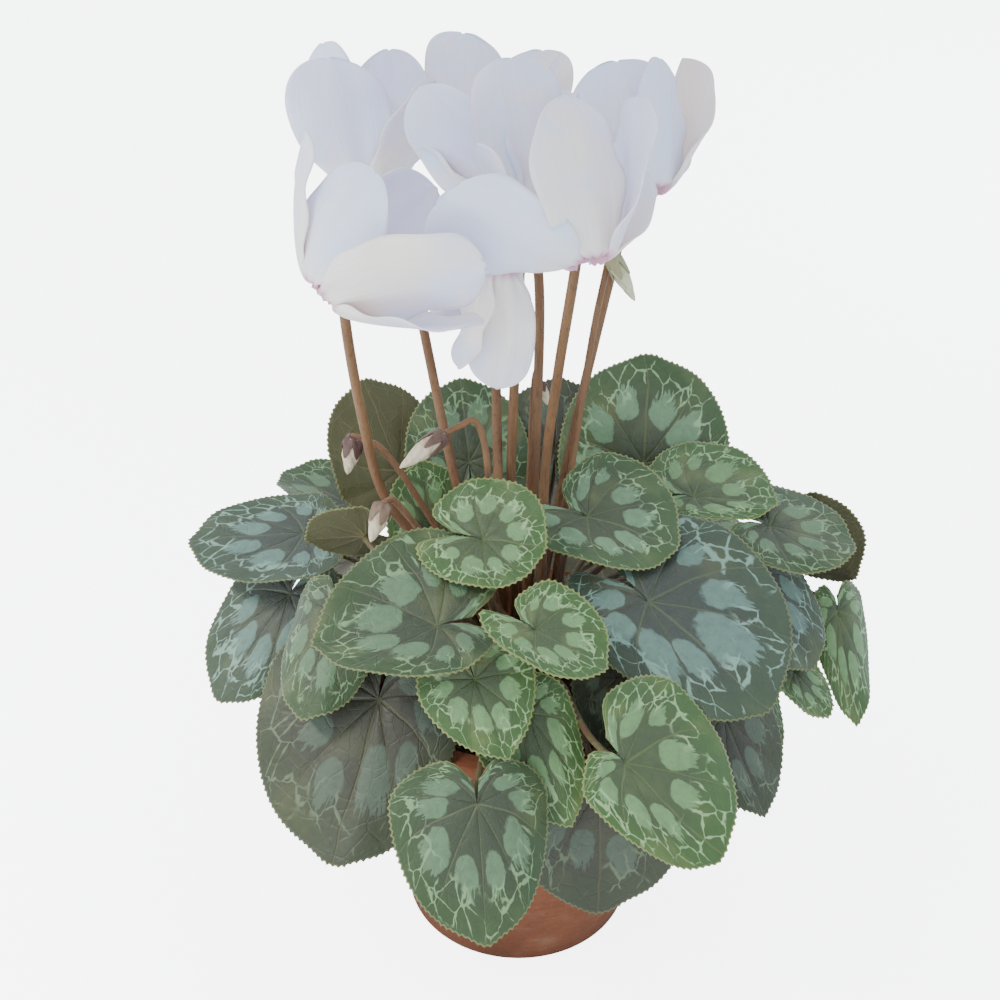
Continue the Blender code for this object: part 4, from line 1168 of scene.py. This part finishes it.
def makeStalk(name, row, azimuth):
    # a smooth rise from the tuber through the knee, a hook over the back of the flower and its calyx
    s = flowerSettings
    knee, mouth, lean = np.array(row[0], float), np.array(row[1], float), row[2]
    axis, gap, third = flowerAxes(lean, knee - mouth)
    start, wayOut = stemBase("flower", azimuth)
    bends = [mouth + gap * out + axis * up for out, up in s["hook"]]
    rise = smoothRoute([start + 2 * wayOut, start + 20 * wayOut, knee, bends[0]], 7)
    last = mouth + axis * (s["tubeHeight"] + 0.6)
    path = smoothRoute(np.concatenate([[start], rise, bends[1:], [last]]), 120)
    thick = readOff(s["stalkThickness"], np.linspace(0, 1, len(path)))
    calyx = mouth + axis * (s["tubeHeight"] + 3.4)
    parts = [
        tube(path, s["stalkRadius"] * thick, third, s["stalkSides"], 0),
        sepalCup(calyx, -axis, gap, s["calyxRadius"], s["calyxLength"], 1),
    ]
    skins = [stemSkins["stalkSkin"], stemSkins["calyxBrown"]]
    return settle(putTogether(name + "_stem", parts, skins), name)


for number, (name, row) in enumerate(flowers.items()):
    makeFlower(name, row, number)
    makeStalk(name.replace("flower", "stalk"), row, stemAzimuths[name])
print("flowers made:", len(flowers))

budSettings = {
    "stalkRadius": 1.6,
    "stalkSides": 16,
    "stalkThickness": ((0, 1.2), (0.03, 1.0), (0.7, 0.9), (0.97, 0.85), (1, 1.4)),
    "coneSides": 40,
    "spindle": ((0, 0.5), (0.08, 0.8), (0.25, 1.0), (0.5, 0.93), (0.75, 0.6), (0.93, 0.28), (1.0, 0.06)),
    "folds": 5,
    "foldDepth": (0.86, 0.2),  # the radius in a fold, and how much the ridges have above it
    "twist": 3.4,  # radians that the folds wind from base to tip
    "sepalRadius": 0.52,  # as a share of the bud's width
    "sepalShare": 0.5,
}


def makeBudMaterial(name, pale, shade):
    # furled petals: pale with darker streaks, greener or browner towards the base
    material, tree, shader = newMaterial(name, Specular_IOR_Level=0.4)
    _, along, _ = split(attribute(tree, "flat", "Vector"))
    streaks = noise(stretch(objectPlace(tree), (500.0, 500.0, 160.0)), 1.0, 3.0)
    base = 1.0 - smooth(along, 0.1, 0.7)
    mask = calc("MULTIPLY_ADD", smooth(streaks, 0.42, 0.7), 0.4, base * 0.5, clamp=True)
    applyFinish(shader, blendColour(mask, pale, shade), streaks * 0.2 + 0.4, streaks, 0.3, 0.0003)
    return material


budTints = {
    "creamBud": (srgb(206, 194, 164), srgb(158, 130, 98)),
    "greenBud": (srgb(204, 204, 168), srgb(150, 152, 110)),
}
budSkins = {name: makeBudMaterial(name, *tints) for name, tints in budTints.items()}


def budCone(base, tip, width):
    # a spindle that is widest a quarter of the way down, with five folds wound round it like an umbrella's
    s = budSettings
    share = np.linspace(0.02, 1.0, 40)
    path = base + (tip - base) * share[:, None]
    turn = wholeTurn(s["coneSides"])
    fold = np.abs(np.sin(s["folds"] / 2 * (turn + s["twist"] * share[:, None])))
    guide = unit(np.cross(unit(tip - base), np.array([0.3, 1.0, 0.1])))
    radii, lobes = width / 2 * readOff(s["spindle"], share), above(s["foldDepth"], fold**0.6)
    return tube(path, radii, guide, s["coneSides"], 1, 0.0, lobes)


def makeBud(name, row, azimuth):
    # a slim stalk that hooks over, a ring of sepals and the furled petals below them
    s = budSettings
    knee, base, tip = (np.array(p, float) for p in row[:3])
    width, green = row[3], row[4]
    start, wayOut = stemBase("top", azimuth)
    way = unit(tip - base)
    rise = smoothRoute([start + 2 * wayOut, start + 20 * wayOut, knee, base], 9)
    path = smoothRoute(np.concatenate([[start], rise, [base + way * 1.5]]), 90)
    guide = unit(np.cross(base - knee, np.array([0.1, 0.2, 1.0])) + 1e-6)
    thick = readOff(s["stalkThickness"], np.linspace(0, 1, len(path)))
    length = np.linalg.norm(tip - base)
    parts = [
        tube(path, s["stalkRadius"] * thick, guide, s["stalkSides"], 0),
        budCone(base, tip, width),
        sepalCup(base - way * 0.3, way, guide, width * s["sepalRadius"], length * s["sepalShare"], 2, 0.2),
    ]
    petals, sepals = ("greenBud", "sepalGreen") if green else ("creamBud", "sepalPurple")
    skins = [stemSkins["stalkSkin"], budSkins[petals], stemSkins[sepals]]
    return settle(putTogether(name + "_furled", parts, skins), name)


for name, row in buds.items():
    makeBud(name, row, stemAzimuths[name])
print("buds made:", len(buds))

groundTints = {
    "bark": (srgb(76, 58, 45), srgb(113, 92, 72)),
    "crack": srgb(43, 32, 27),
    "soil": (srgb(47, 36, 29), srgb(83, 65, 50)),
    "grain": srgb(112, 90, 68),
}


def makeBark():
    # two browns in clouds, with dark cracks along the walls of random cells
    material, tree, shader = newMaterial("tuberBark", Specular_IOR_Level=0.25)
    place = objectPlace(tree)
    coarse, fine = noise(place, 110.0, 5.0, 0.65), noise(place, 480.0, 4.0)
    cracks = 1.0 - smooth(cells(place, 160.0), 0.01, 0.08)
    colour = blendColour(smooth(coarse, 0.3, 0.7), *groundTints["bark"])
    colour = blendColour(cracks * 0.7, colour, groundTints["crack"])
    applyFinish(shader, colour, fine * 0.2 + 0.75, cracks * -0.8 + coarse + fine, 0.8, 0.0015)
    return material


def makeSoilMaterial():
    # dark crumbs in clouds, with paler grains at the far corners of small cells
    material, tree, shader = newMaterial("pottingSoil", Specular_IOR_Level=0.2)
    place = objectPlace(tree)
    lumps, grain = noise(place, 170.0, 5.0, 0.7), cells(place, 520.0, "F1")
    colour = blendColour(smooth(lumps, 0.3, 0.7), *groundTints["soil"])
    colour = blendColour(smooth(grain, 0.55, 0.8) * 0.5, colour, groundTints["grain"])
    applyFinish(shader, colour, lumps * 0.15 + 0.82, lumps + grain, 0.9, 0.002)
    return material


tuberSettings = {
    "steps": 96,
    "lumps": ((0.5, 16, 4), (0.25, 6, 5)),  # (height, size, seed) of each swell
    "lumpHeight": 0.8,
    "sunk": 0.6,
}


def swells(points, rows):
    # ripples of several heights and sizes, added up
    return sum(height * ripple(points, size, seed) for height, size, seed in rows)


def makeTuber(material):
    # an ellipsoid with lumps: each point lies a little less far out than the ellipsoid, plus its swell
    s, t = tuberSettings, stemSettings
    turn = np.linspace(math.pi / 2, -math.pi / 2, 61)
    profile = joined(np.cos(turn) * t["tuberRadius"], np.sin(turn) * t["tuberHalfHeight"])[::-1]
    profile[[0, -1], 0] = 0.0
    middle = np.array([0, 0, t["tuberTop"] - t["tuberHalfHeight"]])

    def lumpy(skin):
        size = np.linalg.norm(skin, axis=-1, keepdims=True)
        bumps = swells(skin, s["lumps"])
        bumps[[0, -1]] = bumps[[0, -1], :1]
        return unit(skin) * (size - s["sunk"] + s["lumpHeight"] * bumps[..., None]) + middle

    piece = putTogether("tuber_corm", [turned(profile, s["steps"], 0, lumpy)], [material])
    return settle(piece, "tuber")


soilSettings = {
    "top": 120.0,
    "steps": 220,
    "topRings": 40,
    "roughness": 1.6,
    "swells": ((0.7, 22, 1), (0.6, 8, 2), (0.5, 3.5, 3)),  # (height, size, seed)
    "sunk": 1.5,
    "crumbs": 340,
    "crumbSize": (0.7, 2.4),
    "crumbSunk": 1.2,
    "crumbSeed": 21,
}
potSettings = {
    "foot": 110.0,
    "rim": 160.0,
    "height": 140.0,
    "wall": 6.0,
    "base": 9.0,
    "bandHeight": 24.0,
    "bandProud": 4.0,
    "drain": 16.0,
    "rounding": 2.2,
    "ridgeStep": 3.0,
    "wobble": (0.25, 90, 8),  # (height, size, seed)
    "ridges": (0.12, 7, 9),
    "steps": 140,
}


def potOutside(z):
    # the wall's outer radius runs evenly from the foot to under the band
    foot, top = potSettings["foot"] / 2, potSettings["rim"] / 2 - potSettings["bandProud"]
    return foot + (top - foot) * z / potSettings["height"]


def potInside(z):
    # the inner radius, one wall further in
    return potOutside(z) - potSettings["wall"]


def crumbs(settings):
    # an icosahedron, squashed, turned and scaled at random, once for each crumb scattered on the soil
    rng = np.random.default_rng(settings["crumbSeed"])
    g = (1 + 5**0.5) / 2
    corners = [(-1, g, 0), (1, g, 0), (-1, -g, 0), (1, -g, 0), (0, -1, g), (0, 1, g)]
    corners += [(0, -1, -g), (0, 1, -g), (g, 0, -1), (g, 0, 1), (-g, 0, -1), (-g, 0, 1)]
    corners = unit(np.array(corners, float))
    sides = [(0, 11, 5), (0, 5, 1), (0, 1, 7), (0, 7, 10), (0, 10, 11), (1, 5, 9), (5, 11, 4), (11, 10, 2)]
    sides += [(10, 7, 6), (7, 1, 8), (3, 9, 4), (3, 4, 2), (3, 2, 6), (3, 6, 8), (3, 8, 9), (4, 9, 5)]
    sides = np.array(sides + [(2, 4, 11), (6, 2, 10), (8, 6, 7), (9, 8, 1)])
    count = settings["crumbs"]
    inner, outer = stemSettings["tuberRadius"] + 1, potInside(settings["top"]) - 2.5
    radius = np.sqrt(rng.uniform(inner**2, outer**2, count))
    turn = rng.uniform(0, 2 * math.pi, count)
    size = rng.uniform(*settings["crumbSize"], (count, 1, 1)) * rng.uniform(0.7, 1.2, (count, 1, 3))
    lumps = corners[None] * rng.uniform(0.8, 1.15, (count, 12, 1)) * size
    spin = rng.uniform(0, 2 * math.pi, (count, 1))
    x = lumps[..., 0] * np.cos(spin) - lumps[..., 1] * np.sin(spin)
    y = lumps[..., 0] * np.sin(spin) + lumps[..., 1] * np.cos(spin)
    place = joined(radius * np.cos(turn), radius * np.sin(turn), settings["top"] - settings["crumbSunk"])
    points = joined(x, y, lumps[..., 2]) + place[:, None]
    faces = (sides[None] + 12 * np.arange(count)[:, None, None]).reshape(-1, 3)
    return part(points.reshape(-1, 3), [faces], 0)


def makeSoil(material):
    # a turned plug with a hollow for the tuber; its open top is roughened by swells of three sizes
    s, t = soilSettings, stemSettings
    gap, base, rings = t["gap"], potSettings["base"] + t["gap"], s["topRings"]
    tuberMiddle = t["tuberTop"] - t["tuberHalfHeight"]
    across, down = t["tuberRadius"] + gap, t["tuberHalfHeight"] + gap
    start = math.asin((tuberMiddle - s["top"]) / down)
    angles = np.linspace(math.pi / 2, start, 10)
    hollow = joined(across * np.cos(angles), tuberMiddle - down * np.sin(angles))
    hollow[0, 0] = 0.0
    outer = potInside(s["top"]) - gap
    out = np.linspace(hollow[-1, 0] + 0.6, outer - 0.5, rings)
    top = joined(out, s["top"] - s["sunk"])
    edge = s["top"] - 6  # where the smooth wall begins
    wall = np.array([(potInside(edge) - gap, edge), (potInside(base) - gap, base), (0.0, base)])
    profile = np.concatenate([hollow, top, wall])

    def rough(skin):
        # the profile runs backwards here, so the amounts are turned round with it
        amount = np.zeros(len(profile))
        amount[len(hollow) : len(hollow) + rings] = s["roughness"]
        skin[..., 2] += amount[::-1, None] * np.minimum(swells(skin, s["swells"]), 1.0)
        return skin

    plug = turned(profile[::-1], s["steps"], 0, rough)
    piece = putTogether("soil_crumbly", [plug, crumbs(s)], [material])
    return settle(piece, "soil")


makeTuber(makeBark())
makeSoil(makeSoilMaterial())
print("tuber and soil made")

clayTints = {
    "body": (srgb(106, 61, 38), srgb(128, 76, 49)),
    "grit": srgb(142, 94, 67),
    "ring": srgb(86, 49, 32),
    "bloom": srgb(151, 121, 97),
    # the darker tint towards the pot's foot
    "darkerFoot": srgb(76, 43, 31),
}


def makeClay():
    # fired clay: patches of lighter and darker orange, grit, fine turning lines, a pale bloom that gathers
    # in clouds, and darker towards the foot
    tints = clayTints
    material, tree, shader = newMaterial("terracotta", Specular_IOR_Level=0.25)
    place = objectPlace(tree)
    height = split(place)[2]
    cloud = noise(place, 26.0, 4.0, 0.6)
    grit = noise(place, 700.0, 3.0, 0.7)
    rings = noise(stretch(place, (6.0, 6.0, 900.0)), 1.0, 2.0)
    bloom = noise(stretch(place, (18.0, 18.0, 30.0), (0.3, 0.1, 0.0)), 1.0, 5.0, 0.65)
    colour = layered(
        blendColour(smooth(cloud, 0.32, 0.68), *tints["body"]),
        (smooth(grit, 0.35, 0.7) * 0.25, tints["grit"]),
        (smooth(rings, 0.45, 0.75) * 0.25, tints["ring"]),
        (smooth(bloom, 0.54, 0.74) * 0.55, tints["bloom"]),
        ((1.0 - smooth(cloud * 0.03 + height, 0.008, 0.045)) * 0.35, tints["darkerFoot"]),
    )
    applyFinish(shader, colour, grit * 0.15 + 0.72, rings * 0.8 + grit, 0.5, 0.0008)
    return material


def filleted(points, radius, steps=5):
    # each corner of an open profile is rounded by a quadratic curve that starts and ends a radius away
    points = np.asarray(points, float)
    before, here, after = points[:-2], points[1:-1], points[2:]
    shorter = np.minimum(np.linalg.norm(before - here, axis=1), np.linalg.norm(after - here, axis=1))
    r = np.minimum(radius, 0.45 * shorter)[:, None]
    start, end = here + unit(before - here) * r, here + unit(after - here) * r
    t = np.linspace(0, 1, steps)[None, :, None]
    curve = (1 - t) ** 2 * start[:, None] + 2 * t * (1 - t) * here[:, None] + t**2 * end[:, None]
    return np.concatenate([points[:1], curve.reshape(-1, 2), points[-1:]])


def makePot(material):
    # the wall's profile with rounded corners, turned; the maker's hand shows as a slow wobble and ridges
    s = potSettings
    rim, hole, band = s["rim"] / 2, s["drain"] / 2, s["height"] - s["bandHeight"]
    innerRim = potInside(s["height"])
    corners = [
        (hole, 4.0), (hole, s["base"]), (potInside(s["base"]), s["base"]), (innerRim, s["height"] - 1.0),
        (innerRim + 0.5, s["height"]), (rim - 0.5, s["height"]), (rim, s["height"] - 1.0),
        (rim - 1.5, band), (potOutside(band), band - 2.0), (potOutside(1.5), 1.5),
        (s["foot"] / 2 - 1.5, 0.0), (hole, 0.0), (hole, 3.0),
    ]
    profile = filleted(corners, s["rounding"])
    # long straight runs are cut up so that the ridges have points to move
    step = np.concatenate([[0], np.cumsum(np.linalg.norm(np.diff(profile, axis=0), axis=1))])
    even = np.unique(np.concatenate([step, np.arange(0, step[-1], s["ridgeStep"])]))
    profile = joined(*(np.interp(even, step, column) for column in profile.T))

    def handMade(skin):
        # nothing moves at the foot or in the middle of the base; the ridges run round the wall
        radius = np.linalg.norm(skin[..., :2], axis=-1)
        wall = np.clip((skin[..., 2] - 3) / 8, 0, 1) * np.clip((radius - 40) / 10, 0, 1)
        wobble = swells(skin, [s["wobble"]]) + swells(skin * [0.02, 0.02, 1], [s["ridges"]])
        return skin + unit(skin * [1, 1, 0]) * (wall * wobble)[..., None]

    piece = putTogether("pot_turned", [turned(profile[::-1], s["steps"], 0, handMade)], [material])
    return settle(piece, "pot")


makePot(makeClay())
print("pot made")

studioSettings = {
    "world": (0.80, 0.89, 1.0, 1.0),
    "worldStrength": 1.65,
    "floor": ((0.86, 0.87, 0.88, 1.0), (0.9, 0.9, 0.9, 1.0)),
    "floorHalf": 9.0,
    "floorGlow": 5.0,  # seen by the camera alone, so that the ground behind the plant is plain and pale
    "aim": (0.0, 0.0, 0.22),
    # name: (watts, place, size, colour)
    "lights": {
        "keyLight": (118.0, (-1.0, -0.55, 1.5), 0.7, (1.0, 0.97, 0.93)),
        "warmFill": (26.0, (0.5, -1.6, 0.25), 1.0, (1.0, 0.86, 0.76)),
        "skyFill": (40.0, (1.0, 0.8, 1.5), 1.2, (0.78, 0.88, 1.0)),
    },
}
white = (1.0, 1.0, 1.0, 1.0)


def layFloor(settings):
    # a broad plane in two pale tones, which glows for the camera alone
    dull = {"Specular_IOR_Level": 0.1, "Roughness": 0.9}
    material, tree, shader = newMaterial("paleFloor", **dull, Emission_Color=white)
    tone = blendColour(noise(objectPlace(tree), 3.0, 2.0), *settings["floor"])
    give(shader.inputs, Base_Color=tone, Emission_Strength=cameraSees(tree) * settings["floorGlow"])
    half = settings["floorHalf"]
    mesh = bpy.data.meshes.new("studioFloor")
    corners = [(-half, -half, 0), (half, -half, 0), (half, half, 0), (-half, half, 0)]
    mesh.from_pydata(corners, [], [(0, 1, 2, 3)])
    mesh.materials.append(material)
    floor = addObject("studioFloor", mesh)
    floor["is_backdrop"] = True


def lightWorld(settings):
    # pale blue light from all round, and plain white where the camera looks past the floor
    world = bpy.data.worlds.new("studioWorld")
    world.use_nodes = True
    background = world.node_tree.nodes["Background"]
    inView = cameraSees(world.node_tree)
    strength = inView * settings["floorGlow"] + settings["worldStrength"]
    give(background.inputs, Color=blendColour(inView, settings["world"], white), Strength=strength)
    bpy.context.scene.world = world


def hangLights(settings):
    # square lights that face the aim
    for name, (power, place, size, colour) in settings["lights"].items():
        data = bpy.data.lights.new(name, "AREA")
        data.energy, data.size, data.color = power, size, colour
        light = addObject(name, data)
        light.location = place
        aim = np.array(settings["aim"]) - np.array(place)
        light.rotation_euler = (math.acos(-aim[2] / np.linalg.norm(aim)), 0.0, math.atan2(aim[0], -aim[1]))


layFloor(studioSettings)
lightWorld(studioSettings)
hangLights(studioSettings)
print("studio lit")

{"cad": cadBox, "visual": [list(corner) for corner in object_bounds()]}
